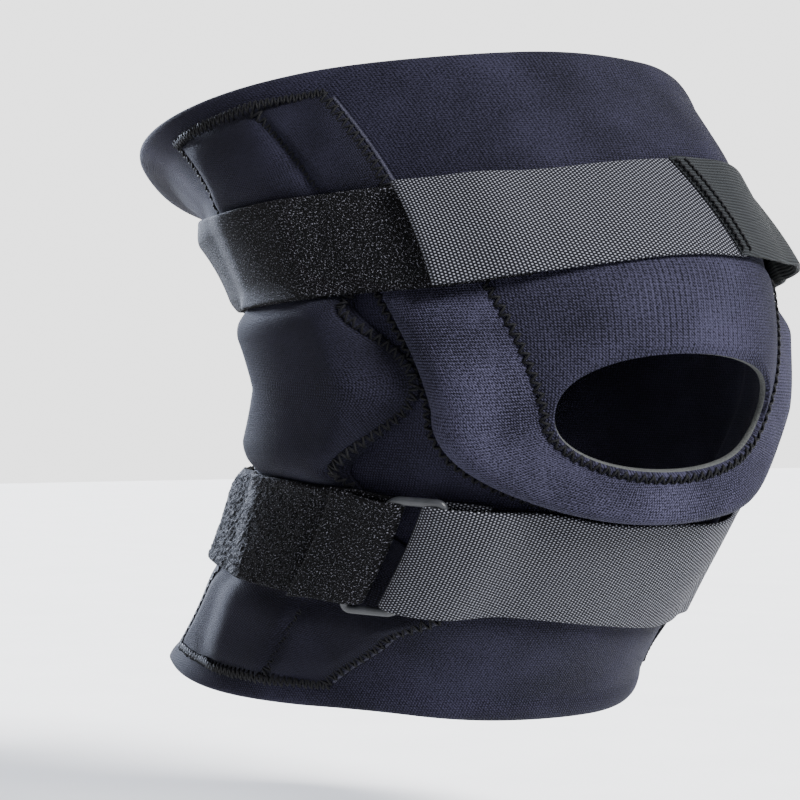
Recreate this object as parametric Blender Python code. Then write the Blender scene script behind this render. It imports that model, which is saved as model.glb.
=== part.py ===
"""Hinged knee brace, worn on a bent knee.

Frame: +Z up, the kneecap faces -Y, and the hinge axis lies along X through the origin.
The wearer's right leg fills the brace, so -X is the outer (lateral) side.
Every soft layer is a sheet that follows one smooth surface, the skin of the bent leg.
A place on that surface is an angle and a height: the angle runs round the leg from the
front, positive towards +X, and the height runs along the leg from the hinge axis.
"""
import math

import bmesh
import bpy
import numpy as np
from mathutils import Matrix

MM = 0.001

# The leg inside the brace. Each station holds: height, forward shift of its centre,
# forward tilt of its plane in degrees, half depth and half width.
STATIONS = (
    (-102, -76, -10.0, 85.0, 85.0),
    (-53, -36.5, -4.0, 91.0, 82.5),
    (-15, -11, -2.0, 97.5, 86.0),
    (18, -10, 0.5, 100.0, 89.0),
    (56, -26, 5.5, 98.5, 96.5),
    (91, -67, 14.0, 98.5, 107.0),
)
LEG_FIT_ORDER = 4

# Sleeve
NEOPRENE = 3.5
GAP = 0.3
LAYER_GAP = 0.5
TOP_EDGE = 88.0
BOTTOM_EDGE = -101.0
HEM_WIDTH = 5.5
HEM_THICKNESS = 4.2
THIGH_SEAM = 40.0
CALF_SEAM = -40.5
FRONT_SEAM_ANGLE = 54.0
BACK_SEAM_ANGLE = 118.0

# Kneecap opening and the padded horseshoe round it
OPENING_CENTRE = -5.0
OPENING_ANGLE = 28.5
OPENING_HALF_HEIGHT = 17.0
OPENING_HEIGHT = -6.5
RIM = 1.08
BUTTRESS_OUTER_ANGLE = 53.0
BUTTRESS_OUTER_HALF_HEIGHT = 29.5
BUTTRESS_INNER_FLARE = 12.2
BUTTRESS_OUTER_FLARE = 11.0
BUTTRESS_PAD = 8.0
BUTTRESS_FADE = (18.0, 31.0)
FRONT_PANEL_MIN_ANGLE = 32.0
SIDE_PANEL_GAP = 1.2

# Hinge: stack of parts along X, measured outwards from the side of the sleeve
HINGE_STACK_START = 92.3
RIVET_INNER_HEAD = 0.8
ARM_THICKNESS = 1.8
WASHER_THICKNESS = 0.6
RIVET_OUTER_HEAD = 1.0
RIVET_RADIUS = 3.0
RIVET_HEAD_RADIUS = 5.5
WASHER_RADIUS = 6.0
PIVOT_HOLE_RADIUS = 3.4
ARM_HEAD_RADIUS = 14.0
ARM_HALF_WIDTH = 8.0
ARM_HEAD_REACH = 16.0
ARM_BEND_END = 38.0
ARM_SKIN_GAP = 0.7
UPPER_ARM_LENGTH = 76.0
LOWER_ARM_LENGTH = 90.0
UPPER_ARM_BACK_TILT = 21.0
LOWER_ARM_BACK_TILT = 28.7
STOP_PIN_RADIUS = 1.5
STOP_SLOT_RADIUS = 2.0
STOP_TRACK_RADIUS = 9.5
STOP_PIN_ANGLE = 205.0
FLEX_RANGE = (-45.0, 25.0)
STOP_MARGIN = 2.0

# Hinge pockets
POCKET_CLOTH = 1.5
POCKET_BACK_ANGLE = 112.0
POCKET_TOP = 79.0
POCKET_BOTTOM = -94.5
POCKET_OVER_ARM = 3.4
POCKET_OVER_HEAD = 10.2
POCKET_FLAT_OVER_ARM = 7.0
POCKET_FLAT_EXTRA = 5.0
POCKET_SLOPE = 18.0
STRAP_OVER_POCKET = 0.6
POCKET_KNEE_WAIST = 76.0
POCKET_KNEE_BULGE = 15.0
POCKET_KNEE_BULGE_HEIGHT = 20.0

# Straps
STRAP = 1.8
RING_BAR = 3.0
RING_WIDTH = 23.0
THIGH_RING_LENGTH = 42.0
CALF_RING_LENGTH = 52.0
RING_PROUD = 2.0
FOLD_DROP = 4.2
THIGH_TAB_FREE = -54.0
THIGH_TAB_ROOT = -22.0
THIGH_STITCH_LOW = 13.0
THIGH_STITCH_HIGH = 3.0
THIGH_RING_ANGLE = 85.0
CALF_RING_ANGLE = -56.0
CALF_TAB_ROOT = 50.0
CALF_TAB_FREE = 92.0
STRAP_JOIN_GAP = 0.7

ANGLE_STEP = 6.0
HEIGHT_STEP = 11.0

COLOURS = {
    "neoprene": ((0.030, 0.031, 0.045), 0.85, 0.0),
    "pocket_cloth": ((0.036, 0.037, 0.052), 0.85, 0.0),
    "loop_pile": ((0.012, 0.012, 0.013), 0.95, 0.0),
    "elastic_webbing": ((0.13, 0.135, 0.15), 0.80, 0.0),
    "ribbed_webbing": ((0.055, 0.060, 0.065), 0.80, 0.0),
    "ring_plastic": ((0.040, 0.042, 0.048), 0.35, 0.0),
    "hinge_steel": ((0.55, 0.56, 0.57), 0.35, 1.0),
    "washer_plastic": ((0.70, 0.70, 0.68), 0.45, 0.0),
}

HEIGHTS = np.array([station[0] for station in STATIONS], float)
LEG_FITS = [
    np.polyfit(HEIGHTS, [station[column] for station in STATIONS], LEG_FIT_ORDER)
    for column in range(1, 5)
]


def smooth(value, low, high):
    """0 below low, 1 above high, with an even slope between."""
    t = min(max((value - low) / (high - low), 0.0), 1.0)
    return t * t * (3.0 - 2.0 * t)


def wrap(angle):
    return (angle + 180.0) % 360.0 - 180.0


def section(height):
    """Forward shift, tilt in radians, half depth and half width of the leg."""
    shift, tilt, depth, width = (np.polyval(fit, height) for fit in LEG_FITS)
    return shift, math.radians(tilt), depth, width


def skin(angle, height):
    """The point of the leg's skin at an angle and a height, in millimetres."""
    shift, tilt, depth, width = section(height)
    turn = math.radians(angle)
    reach = depth * math.cos(turn)
    forward = shift + reach * math.cos(tilt)
    return np.array((width * math.sin(turn), -forward, height + reach * math.sin(tilt)))


def skin_directions(angle, height):
    """Unit vectors round the leg, up along it and outwards."""
    step = 0.5
    around = skin(angle + step, height) - skin(angle - step, height)
    along = skin(angle, height + step) - skin(angle, height - step)
    outward = np.cross(around, along)
    return [vector / np.linalg.norm(vector) for vector in (around, along, outward)]


def point(angle, height, offset):
    outward = skin_directions(angle, height)[2]
    return (skin(angle, height) + outward * offset) * MM


def side_of_leg(forward, up):
    """Half width of the leg at a place in the side view."""
    height = up
    reach = 0.0
    for _ in range(6):
        shift, tilt, depth, width = section(height)
        reach = (forward - shift) / math.cos(tilt)
        height = up - reach * math.sin(tilt)
    return width * math.sqrt(max(1.0 - (reach / depth) ** 2, 0.0))


def arm_angle(height):
    """Angle round the leg of the middle of the hinge arm."""
    shift, _, depth, _ = section(height)
    tilt = UPPER_ARM_BACK_TILT if height > 0 else LOWER_ARM_BACK_TILT
    forward = -abs(height) * math.tan(math.radians(tilt))
    return math.degrees(math.acos((forward - shift) / depth))


def pocket_rise(angle, height):
    """How far the hinge and its arms lift the pocket cloth off the sleeve."""
    head = 1.0 - smooth(abs(height), 18.0, 37.0)
    away = abs(abs(wrap(angle)) - arm_angle(height))
    flat = POCKET_FLAT_OVER_ARM + POCKET_FLAT_EXTRA * head
    rise = POCKET_OVER_ARM + (POCKET_OVER_HEAD - POCKET_OVER_ARM) * head
    return rise * (1.0 - smooth(away, flat, flat + POCKET_SLOPE))


def pocket_inside(angle, height):
    return NEOPRENE + GAP + pocket_rise(angle, height)


def pocket_outside(angle, height):
    return pocket_inside(angle, height) + POCKET_CLOTH


def over_pocket(angle, height):
    """Lowest offset of a strap that lies on the sleeve and on the hinge pockets."""
    turn = abs(wrap(angle))
    on_pocket = smooth(turn, 30.0, 41.0) * (1.0 - smooth(turn, 115.0, 125.0))
    lift = POCKET_CLOTH + GAP + STRAP_OVER_POCKET
    return NEOPRENE + LAYER_GAP + on_pocket * lift + pocket_rise(angle, height)


def thigh_strap_low(angle):
    """Height of the thigh strap's lower edge."""
    turn = wrap(angle)
    front = 29.0 + 7.5 * smooth(turn, -60.0, 5.0)
    return front + 7.5 * (1.0 - smooth(turn, -165.0, -125.0))


def thigh_strap_high(angle):
    """Height of the thigh strap's upper edge."""
    turn = wrap(angle)
    front = 57.0 + 4.0 * smooth(turn, -45.0, 5.0)
    medial = front + 8.0 * smooth(turn, 45.0, 95.0)
    return medial + 12.0 * (1.0 - smooth(turn, -150.0, -45.0))


def calf_strap_high(angle):
    """Height of the calf strap's upper edge."""
    turn = wrap(angle)
    lateral = -30.0 - 8.0 * smooth(turn, -55.0, -5.0) + 4.0 * smooth(turn, 60.0, 120.0)
    return lateral - 4.0 * (1.0 - smooth(turn, -150.0, -75.0))


def calf_strap_low(angle):
    """Height of the calf strap's lower edge."""
    turn = wrap(angle)
    lateral = -69.5 - 4.5 * smooth(turn, -30.0, 25.0) + 4.0 * smooth(turn, 60.0, 120.0)
    return lateral - 0.5 * (1.0 - smooth(turn, -130.0, -75.0))


def collection(name):
    group = bpy.data.collections.new(name)
    bpy.context.scene.collection.children.link(group)
    return group


def material(name):
    found = bpy.data.materials.get(name)
    if found:
        return found
    colour, roughness, metallic = COLOURS[name]
    made = bpy.data.materials.new(name)
    made.use_nodes = True
    shader = made.node_tree.nodes["Principled BSDF"]
    shader.inputs["Base Color"].default_value = (*colour, 1.0)
    shader.inputs["Roughness"].default_value = roughness
    shader.inputs["Metallic"].default_value = metallic
    made.diffuse_color = (*colour, 1.0)
    return made


def add_object(name, mesh, material_name, group):
    mesh.shade_smooth()
    mesh.set_sharp_from_angle(angle=math.radians(40.0))
    mesh.materials.append(material(material_name))
    made = bpy.data.objects.new(name, mesh)
    group.objects.link(made)
    return made


def sheet(name, place, columns, rows, inside, outside, material_name, closed=False, across=None):
    """A layer of cloth: place(u, v) gives angle and height, inside and outside its two faces.

    across(v) scales the layer's height above the sleeve, from its first edge to its last.
    """
    mesh = bmesh.new()
    grids = []
    count = columns if closed else columns + 1
    for offset in (inside, outside):
        grid = []
        for i in range(count):
            line = []
            for j in range(rows + 1):
                angle, height = place(i / columns, j / rows)
                lift = offset(angle, height)
                if across and lift > NEOPRENE:
                    lift = NEOPRENE + (lift - NEOPRENE) * across(j / rows)
                line.append(mesh.verts.new(point(angle, height, lift)))
            grid.append(line)
        grids.append(grid)
    inner, outer = grids
    for i in range(columns):
        k = (i + 1) % count
        for j in range(rows):
            mesh.faces.new((outer[i][j], outer[k][j], outer[k][j + 1], outer[i][j + 1]))
            mesh.faces.new((inner[i][j + 1], inner[k][j + 1], inner[k][j], inner[i][j]))
        mesh.faces.new((inner[i][0], inner[k][0], outer[k][0], outer[i][0]))
        mesh.faces.new((outer[i][rows], outer[k][rows], inner[k][rows], inner[i][rows]))
    if not closed:
        for j in range(rows):
            mesh.faces.new((inner[0][j], outer[0][j], outer[0][j + 1], inner[0][j + 1]))
            last = count - 1
            mesh.faces.new((outer[last][j], inner[last][j], inner[last][j + 1], outer[last][j + 1]))
    bmesh.ops.recalc_face_normals(mesh, faces=mesh.faces)
    data = bpy.data.meshes.new(name)
    mesh.to_mesh(data)
    mesh.free()
    return add_object(name, data, material_name, PARTS)


def strips(low, high, step):
    return max(1, round(abs(high - low) / step))


def band(name, first, last, low, high, inside, outside, material_name, slant=0.0):
    """A sheet between two angles, with its lower and upper edges as functions of the angle.

    slant moves the last end of the upper edge back by that many degrees.
    """
    def place(u, v):
        end = last - slant * v
        angle = first + (end - first) * u
        bottom = low(angle) if callable(low) else low
        top = high(angle) if callable(high) else high
        return angle, bottom + (top - bottom) * v

    middle = 0.5 * (first + last)
    bottom = low(middle) if callable(low) else low
    top = high(middle) if callable(high) else high
    columns = strips(first, last, ANGLE_STEP)
    rows = strips(bottom, top, HEIGHT_STEP)
    return sheet(name, place, columns, rows, inside, outside, material_name)


def level(offset):
    return lambda angle, height: offset


def build_sleeve_tube(part, low, high):
    """Four neoprene panels of the thigh or of the calf, seamed edge to edge."""
    seams = (
        ("front_panel", -FRONT_SEAM_ANGLE, FRONT_SEAM_ANGLE),
        ("medial_panel", FRONT_SEAM_ANGLE, BACK_SEAM_ANGLE),
        ("back_panel", BACK_SEAM_ANGLE, 360.0 - BACK_SEAM_ANGLE),
        ("lateral_panel", -BACK_SEAM_ANGLE, -FRONT_SEAM_ANGLE),
    )
    half_gap = math.degrees(GAP / 90.0) / 2
    for panel, first, last in seams:
        band(f"{part}_{panel}", first + half_gap, last - half_gap, low, high,
             level(0.0), level(NEOPRENE), "neoprene")


def build_hem(name, edge, inward):
    """The turned hem that ends the sleeve, a full ring."""
    def place(u, v):
        return 360.0 * u, edge + inward * (HEM_WIDTH * v)

    columns = strips(0.0, 360.0, ANGLE_STEP)
    sheet(name, place, columns, 1, level(-0.4), level(HEM_THICKNESS), "neoprene", closed=True)


def opening_height(amount):
    return OPENING_HEIGHT + amount


def buttress_edge(height, base_angle, flare):
    """Angle of one of the horseshoe's straight sides at a height above the opening's middle."""
    return base_angle + flare * (height - OPENING_HEIGHT) / (THIGH_SEAM - OPENING_HEIGHT)


def build_front_panel():
    """The knit panel over the kneecap, with its oval opening."""
    side = OPENING_ANGLE * RIM
    top_reach = THIGH_SEAM - GAP - OPENING_HEIGHT
    slope = BUTTRESS_INNER_FLARE / (THIGH_SEAM - OPENING_HEIGHT)

    def place(u, v):
        turn = 2 * math.pi * u
        outer = RIM
        if math.sin(turn) > 1e-6:
            to_top = top_reach / (OPENING_HALF_HEIGHT * math.sin(turn))
            lean = OPENING_ANGLE * abs(math.cos(turn)) - slope * OPENING_HALF_HEIGHT * math.sin(turn)
            to_side = side / lean if lean > 1e-6 else to_top
            outer = min(to_top, to_side)
        reach = 1.0 + (outer - 1.0) * v
        angle = OPENING_CENTRE + OPENING_ANGLE * reach * math.cos(turn)
        return angle, opening_height(OPENING_HALF_HEIGHT * reach * math.sin(turn))

    sheet("knee_front_panel", place, 54, 2, level(0.0), level(NEOPRENE), "neoprene", closed=True)


def build_buttress():
    """The padded horseshoe that steers the kneecap."""
    seam = math.degrees(1.5 * GAP / 90.0)
    top = THIGH_SEAM - GAP
    straight = 0.28

    def edge(u, base_angle, half_height, flare):
        side = -1.0 if u < 0.5 else 1.0
        run = min(u, 1.0 - u)
        if run < straight:
            height = top + (OPENING_HEIGHT - top) * run / straight
            return OPENING_CENTRE + side * buttress_edge(height, base_angle, flare), height
        turn = math.pi * (u - straight) / (1.0 - 2 * straight)
        angle = OPENING_CENTRE - base_angle * math.cos(turn)
        return angle, opening_height(-half_height * math.sin(turn))

    def place(u, v):
        near = edge(u, OPENING_ANGLE * RIM + seam, OPENING_HALF_HEIGHT * RIM + GAP, BUTTRESS_INNER_FLARE)
        far = edge(u, BUTTRESS_OUTER_ANGLE, BUTTRESS_OUTER_HALF_HEIGHT, BUTTRESS_OUTER_FLARE)
        return near[0] + (far[0] - near[0]) * v, near[1] + (far[1] - near[1]) * v

    def padding(angle, height):
        return NEOPRENE + BUTTRESS_PAD * (1.0 - smooth(height, *BUTTRESS_FADE))

    def crown(v):
        return math.sin(math.pi * v) ** 0.8

    sheet("patella_buttress", place, 36, 6, level(0.0), padding, "neoprene", across=crown)


def buttress_outer_angle(height, side):
    """How far round one side of the leg the horseshoe reaches at a height."""
    if height >= OPENING_HEIGHT:
        reach = buttress_edge(height, BUTTRESS_OUTER_ANGLE, BUTTRESS_OUTER_FLARE)
    else:
        drop = (OPENING_HEIGHT - height) / BUTTRESS_OUTER_HALF_HEIGHT
        reach = BUTTRESS_OUTER_ANGLE * math.sqrt(max(1.0 - drop * drop, 0.0))
    return reach + side * OPENING_CENTRE


def build_knee_sides():
    """Soft panels beside and behind the knee, between the thigh and calf tubes."""
    low = CALF_SEAM + GAP
    high = THIGH_SEAM - GAP
    rows = strips(low, high, 6.0)
    seam = math.degrees(GAP / 90.0)
    for name, side in (("knee_lateral_panel", -1.0), ("knee_medial_panel", 1.0)):
        def place(u, v, side=side):
            height = low + (high - low) * v
            near = max(buttress_outer_angle(height, side) + SIDE_PANEL_GAP, FRONT_PANEL_MIN_ANGLE)
            return side * (near + (BACK_SEAM_ANGLE - seam - near) * u), height

        sheet(name, place, 10, rows, level(0.0), level(NEOPRENE), "neoprene")
    band("popliteal_panel", BACK_SEAM_ANGLE + seam, 360.0 - BACK_SEAM_ANGLE - seam, low, high,
         level(0.0), level(NEOPRENE), "neoprene")


def build_pockets(side, side_name):
    """The cloth pocket over one hinge, in three lengths."""
    half_gap = math.degrees(GAP / 90.0)
    lengths = (
        ("thigh_hinge_pocket", THIGH_SEAM + GAP, POCKET_TOP, 4),
        ("calf_hinge_pocket", POCKET_BOTTOM, CALF_SEAM - GAP, 5),
    )
    for name, low, high, rows in lengths:
        def place(u, v, low=low, high=high):
            angle = FRONT_SEAM_ANGLE + half_gap + (POCKET_BACK_ANGLE - FRONT_SEAM_ANGLE) * u
            return side * angle, low + (high - low) * v

        sheet(f"{name}_{side_name}", place, 10, rows, pocket_inside, pocket_outside, "pocket_cloth")

    low = CALF_SEAM + GAP
    high = THIGH_SEAM - GAP

    def knee_place(u, v):
        height = low + (high - low) * v
        bulge = POCKET_KNEE_BULGE * math.exp(-((height + 2.0) / POCKET_KNEE_BULGE_HEIGHT) ** 2)
        near = POCKET_KNEE_WAIST - bulge - 9.0 * smooth(abs(height), 24.0, 38.0)
        return side * (near + (POCKET_BACK_ANGLE + 3.0 - near) * u), height

    sheet(f"knee_hinge_pocket_{side_name}", knee_place, 9, 10, pocket_inside, pocket_outside,
          "pocket_cloth")


def plate_from_outline(outline, thickness, cuts):
    """A flat plate in the side view, cut across at the given places so that it can bend."""
    mesh = bmesh.new()
    verts = [mesh.verts.new((0.0, -forward, up)) for forward, up in outline]
    face = mesh.faces.new(verts)
    pulled = bmesh.ops.extrude_face_region(mesh, geom=[face])
    moved = [item for item in pulled["geom"] if isinstance(item, bmesh.types.BMVert)]
    bmesh.ops.translate(mesh, verts=moved, vec=(thickness, 0.0, 0.0))
    bmesh.ops.recalc_face_normals(mesh, faces=mesh.faces)
    for place, normal in cuts:
        everything = mesh.verts[:] + mesh.edges[:] + mesh.faces[:]
        bmesh.ops.bisect_plane(mesh, geom=everything, dist=1e-5, plane_co=place, plane_no=normal)
    return mesh


def arm_outline(length, back_tilt, direction):
    """Round head and straight shank with a round end, as forward and up values."""
    lean = math.radians(back_tilt)
    axis = np.array((-math.sin(lean), direction * math.cos(lean)))
    across = np.array((axis[1], -axis[0]))
    meet = math.degrees(math.asin(ARM_HALF_WIDTH / ARM_HEAD_RADIUS))
    points = []
    for step in range(19):
        turn = math.radians(meet + (360.0 - 2 * meet) * step / 18)
        points.append(ARM_HEAD_RADIUS * (math.cos(turn) * axis + math.sin(turn) * across))
    end = axis * (length - ARM_HALF_WIDTH)
    for step in range(7):
        turn = math.radians(-90.0 + 180.0 * step / 6)
        points.append(end + ARM_HALF_WIDTH * (math.cos(turn) * axis + math.sin(turn) * across))
    return points, axis


def cutter(name, mesh):
    data = bpy.data.meshes.new(name)
    mesh.to_mesh(data)
    mesh.free()
    made = bpy.data.objects.new(name, data)
    made.hide_render = True
    made.display_type = "WIRE"
    CUTTERS.objects.link(made)
    return made


def disc(radius, thickness, segments=24):
    """A cylinder along X that starts at x = 0."""
    mesh = bmesh.new()
    bmesh.ops.create_cone(mesh, cap_ends=True, segments=segments, radius1=radius, radius2=radius,
                          depth=thickness)
    to_x_axis = Matrix.Rotation(math.radians(90.0), 3, "Y")
    bmesh.ops.rotate(mesh, verts=mesh.verts, cent=(0, 0, 0), matrix=to_x_axis)
    bmesh.ops.translate(mesh, verts=mesh.verts, vec=(thickness / 2, 0, 0))
    return mesh


def stop_slot(thickness):
    """The curved slot that the stop pin runs in."""
    low = math.radians(STOP_PIN_ANGLE + FLEX_RANGE[0] - STOP_MARGIN)
    high = math.radians(STOP_PIN_ANGLE + FLEX_RANGE[1] + STOP_MARGIN)
    outline = []
    for step in range(11):
        turn = low + (high - low) * step / 10
        reach = STOP_TRACK_RADIUS + STOP_SLOT_RADIUS
        outline.append((reach * math.cos(turn), reach * math.sin(turn)))
    for step in range(1, 5):
        turn = high + math.pi * step / 5
        outline.append((STOP_TRACK_RADIUS * math.cos(high) + STOP_SLOT_RADIUS * math.cos(turn),
                        STOP_TRACK_RADIUS * math.sin(high) + STOP_SLOT_RADIUS * math.sin(turn)))
    for step in range(11):
        turn = high + (low - high) * step / 10
        reach = STOP_TRACK_RADIUS - STOP_SLOT_RADIUS
        outline.append((reach * math.cos(turn), reach * math.sin(turn)))
    for step in range(1, 5):
        turn = low + math.pi + math.pi * step / 5
        outline.append((STOP_TRACK_RADIUS * math.cos(low) + STOP_SLOT_RADIUS * math.cos(turn),
                        STOP_TRACK_RADIUS * math.sin(low) + STOP_SLOT_RADIUS * math.sin(turn)))
    return plate_from_outline([(-y, z) for y, z in outline], thickness, [])


def bend_arm(mesh, head_start, along):
    """Lets the plate follow the side of the leg beyond its head."""
    lean = np.array(along)
    for vert in mesh.verts:
        forward, up = -vert.co.y, vert.co.z
        reach = forward * lean[0] + up * lean[1]
        leave = smooth(reach, ARM_HEAD_REACH, ARM_BEND_END)
        hugging = side_of_leg(forward, up) + NEOPRENE + ARM_SKIN_GAP
        vert.co.x += head_start + (hugging - head_start) * leave


def finish_plate(mesh, name, side, material_name):
    """Takes a plate built on +X to its side, in metres."""
    bmesh.ops.scale(mesh, verts=mesh.verts, vec=(side * MM, MM, MM))
    bmesh.ops.recalc_face_normals(mesh, faces=mesh.faces)
    data = bpy.data.meshes.new(name)
    mesh.to_mesh(data)
    mesh.free()
    return add_object(name, data, material_name, PARTS)


def cut(target, tool):
    modifier = target.modifiers.new("cut", "BOOLEAN")
    modifier.operation = "DIFFERENCE"
    modifier.solver = "EXACT"
    modifier.object = tool


def build_arm(name, side, side_name, length, back_tilt, direction, head_start, slotted):
    outline, along = arm_outline(length, back_tilt, direction)
    normal = (0.0, -along[0], along[1])
    cuts = []
    reach = ARM_HEAD_REACH
    while reach < length - ARM_HALF_WIDTH:
        cuts.append(((0.0, -along[0] * reach, along[1] * reach), normal))
        reach += 5.5 if reach < ARM_BEND_END else 11.0
    mesh = plate_from_outline(outline, ARM_THICKNESS, cuts)
    bend_arm(mesh, head_start, along)
    arm = finish_plate(mesh, f"{name}_{side_name}", side, "hinge_steel")

    hole = disc(PIVOT_HOLE_RADIUS, ARM_THICKNESS * 3)
    bmesh.ops.translate(hole, verts=hole.verts, vec=(head_start - ARM_THICKNESS, 0, 0))
    bmesh.ops.scale(hole, verts=hole.verts, vec=(side * MM, MM, MM))
    bmesh.ops.recalc_face_normals(hole, faces=hole.faces)
    cut(arm, cutter(f"pivot_hole_{name}_{side_name}", hole))
    if slotted:
        slot = stop_slot(ARM_THICKNESS * 3)
        bmesh.ops.translate(slot, verts=slot.verts, vec=(head_start - ARM_THICKNESS, 0, 0))
        bmesh.ops.scale(slot, verts=slot.verts, vec=(side * MM, MM, MM))
        bmesh.ops.recalc_face_normals(slot, faces=slot.faces)
        cut(arm, cutter(f"stop_slot_{side_name}", slot))


def build_hinge(side, side_name):
    """Two steel arms on one rivet, with a washer between and a pin that stops them."""
    lower = HINGE_STACK_START + RIVET_INNER_HEAD + GAP
    washer = lower + ARM_THICKNESS + GAP
    upper = washer + WASHER_THICKNESS + GAP
    outer_head = upper + ARM_THICKNESS + GAP
    build_arm("lower_arm", side, side_name, LOWER_ARM_LENGTH, LOWER_ARM_BACK_TILT, -1.0, lower, False)
    build_arm("upper_arm", side, side_name, UPPER_ARM_LENGTH, UPPER_ARM_BACK_TILT, 1.0, upper, True)

    profile = (
        (0.0, HINGE_STACK_START),
        (RIVET_HEAD_RADIUS, HINGE_STACK_START),
        (RIVET_HEAD_RADIUS, lower - GAP),
        (RIVET_RADIUS, lower - GAP),
        (RIVET_RADIUS, outer_head),
        (RIVET_HEAD_RADIUS, outer_head),
        (RIVET_HEAD_RADIUS - 1.2, outer_head + RIVET_OUTER_HEAD),
        (0.0, outer_head + RIVET_OUTER_HEAD),
    )
    turned(f"pivot_rivet_{side_name}", profile, side, "hinge_steel")
    ring = (
        (PIVOT_HOLE_RADIUS, washer),
        (WASHER_RADIUS, washer),
        (WASHER_RADIUS, washer + WASHER_THICKNESS),
        (PIVOT_HOLE_RADIUS, washer + WASHER_THICKNESS),
    )
    turned(f"pivot_washer_{side_name}", ring, side, "washer_plastic", hollow=True)

    pin = disc(STOP_PIN_RADIUS, outer_head - lower - ARM_THICKNESS - GAP, 12)
    turn = math.radians(STOP_PIN_ANGLE)
    place = (lower + ARM_THICKNESS + GAP, STOP_TRACK_RADIUS * math.cos(turn),
             STOP_TRACK_RADIUS * math.sin(turn))
    bmesh.ops.translate(pin, verts=pin.verts, vec=place)
    finish_plate(pin, f"stop_pin_{side_name}", side, "hinge_steel")


def turned(name, profile, side, material_name, hollow=False):
    """A round piece on the hinge axis, from radius and x values."""
    segments = 24
    mesh = bmesh.new()
    rings = []
    for radius, x in profile:
        if radius == 0.0:
            rings.append([mesh.verts.new((x, 0.0, 0.0))])
            continue
        rings.append([
            mesh.verts.new((x, radius * math.cos(2 * math.pi * i / segments),
                            radius * math.sin(2 * math.pi * i / segments)))
            for i in range(segments)
        ])
    pairs = list(zip(rings, rings[1:]))
    if hollow:
        pairs.append((rings[-1], rings[0]))
    for low, high in pairs:
        for i in range(segments):
            k = (i + 1) % segments
            corners = [low[i % len(low)], low[k % len(low)], high[k % len(high)], high[i % len(high)]]
            mesh.faces.new(list(dict.fromkeys(corners)))
    finish_plate(mesh, name, side, material_name)


def build_ring(name, angle, height, offset, length):
    """A rectangular plastic ring that lies flat over the strap."""
    around, along, outward = skin_directions(angle, height)
    centre = skin(angle, height) + outward * offset
    half_w, half_l = RING_WIDTH / 2, length / 2
    corner = 5.0
    mesh = bmesh.new()
    loops = []
    for inset in (0.0, RING_BAR):
        for lift in (-RING_BAR / 2, RING_BAR / 2):
            loop = []
            radius = corner - inset
            for quarter in range(4):
                sign_u = 1 if quarter in (0, 3) else -1
                sign_v = 1 if quarter in (0, 1) else -1
                for step in range(4):
                    turn = math.radians(90.0 * quarter + 30.0 * step)
                    u = sign_u * (half_w - inset - radius) + radius * math.cos(turn)
                    v = sign_v * (half_l - inset - radius) + radius * math.sin(turn)
                    place = centre + around * u + along * v + outward * lift
                    loop.append(mesh.verts.new(place * MM))
            loops.append(loop)
    outer_low, outer_high, inner_low, inner_high = loops
    count = len(outer_low)
    for i in range(count):
        k = (i + 1) % count
        mesh.faces.new((outer_low[i], outer_low[k], outer_high[k], outer_high[i]))
        mesh.faces.new((outer_high[i], outer_high[k], inner_high[k], inner_high[i]))
        mesh.faces.new((inner_high[i], inner_high[k], inner_low[k], inner_low[i]))
        mesh.faces.new((inner_low[i], inner_low[k], outer_low[k], outer_low[i]))
    bmesh.ops.recalc_face_normals(mesh, faces=mesh.faces)
    data = bpy.data.meshes.new(name)
    mesh.to_mesh(data)
    mesh.free()
    add_object(name, data, "ring_plastic", PARTS)


def build_thigh_strap():
    """Loop band round the back, ring on the inner side, webbing and hook tab over the front."""
    low, high = thigh_strap_low, thigh_strap_high
    ring_rise = STRAP + LAYER_GAP + RING_BAR + LAYER_GAP + RING_PROUD

    def on_sleeve(angle, height):
        return over_pocket(angle, height)

    def on_sleeve_top(angle, height):
        return over_pocket(angle, height) + STRAP

    def front_inside(angle, height):
        on_loop = 1.0 - smooth(angle, -34.0, -22.0)
        at_ring = smooth(angle, 50.0, 72.0)
        stand_off = 5.0 * smooth(angle, 12.0, 40.0) * (1.0 - smooth(angle, 50.0, 75.0))
        rise = on_loop * (STRAP + LAYER_GAP) + at_ring * ring_rise + stand_off
        return over_pocket(angle, height) + rise

    def front_outside(angle, height):
        return front_inside(angle, height) + STRAP

    def fold_inside(angle, height):
        free_end = smooth(angle, THIGH_RING_ANGLE + 12.0, THIGH_RING_ANGLE + 26.0)
        return over_pocket(angle, height) + ring_rise - FOLD_DROP * free_end

    def fold_outside(angle, height):
        return fold_inside(angle, height) + STRAP

    band("thigh_strap_loop_band", THIGH_RING_ANGLE - 6.0, 324.0, low, high,
         on_sleeve, on_sleeve_top, "loop_pile")
    band("thigh_strap_tab", THIGH_TAB_FREE, THIGH_TAB_ROOT - STRAP_JOIN_GAP / 2, low, high,
         front_inside, front_outside, "elastic_webbing")
    band("thigh_strap_elastic", THIGH_TAB_ROOT + STRAP_JOIN_GAP / 2, THIGH_STITCH_LOW, low, high,
         front_inside, front_outside, "elastic_webbing",
         slant=THIGH_STITCH_LOW - THIGH_STITCH_HIGH)
    webbing_slant(low, high, front_inside, front_outside)
    band("thigh_strap_fold", THIGH_RING_ANGLE + 3.5, THIGH_RING_ANGLE + 30.0, low, high,
         fold_inside, fold_outside, "loop_pile")


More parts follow.
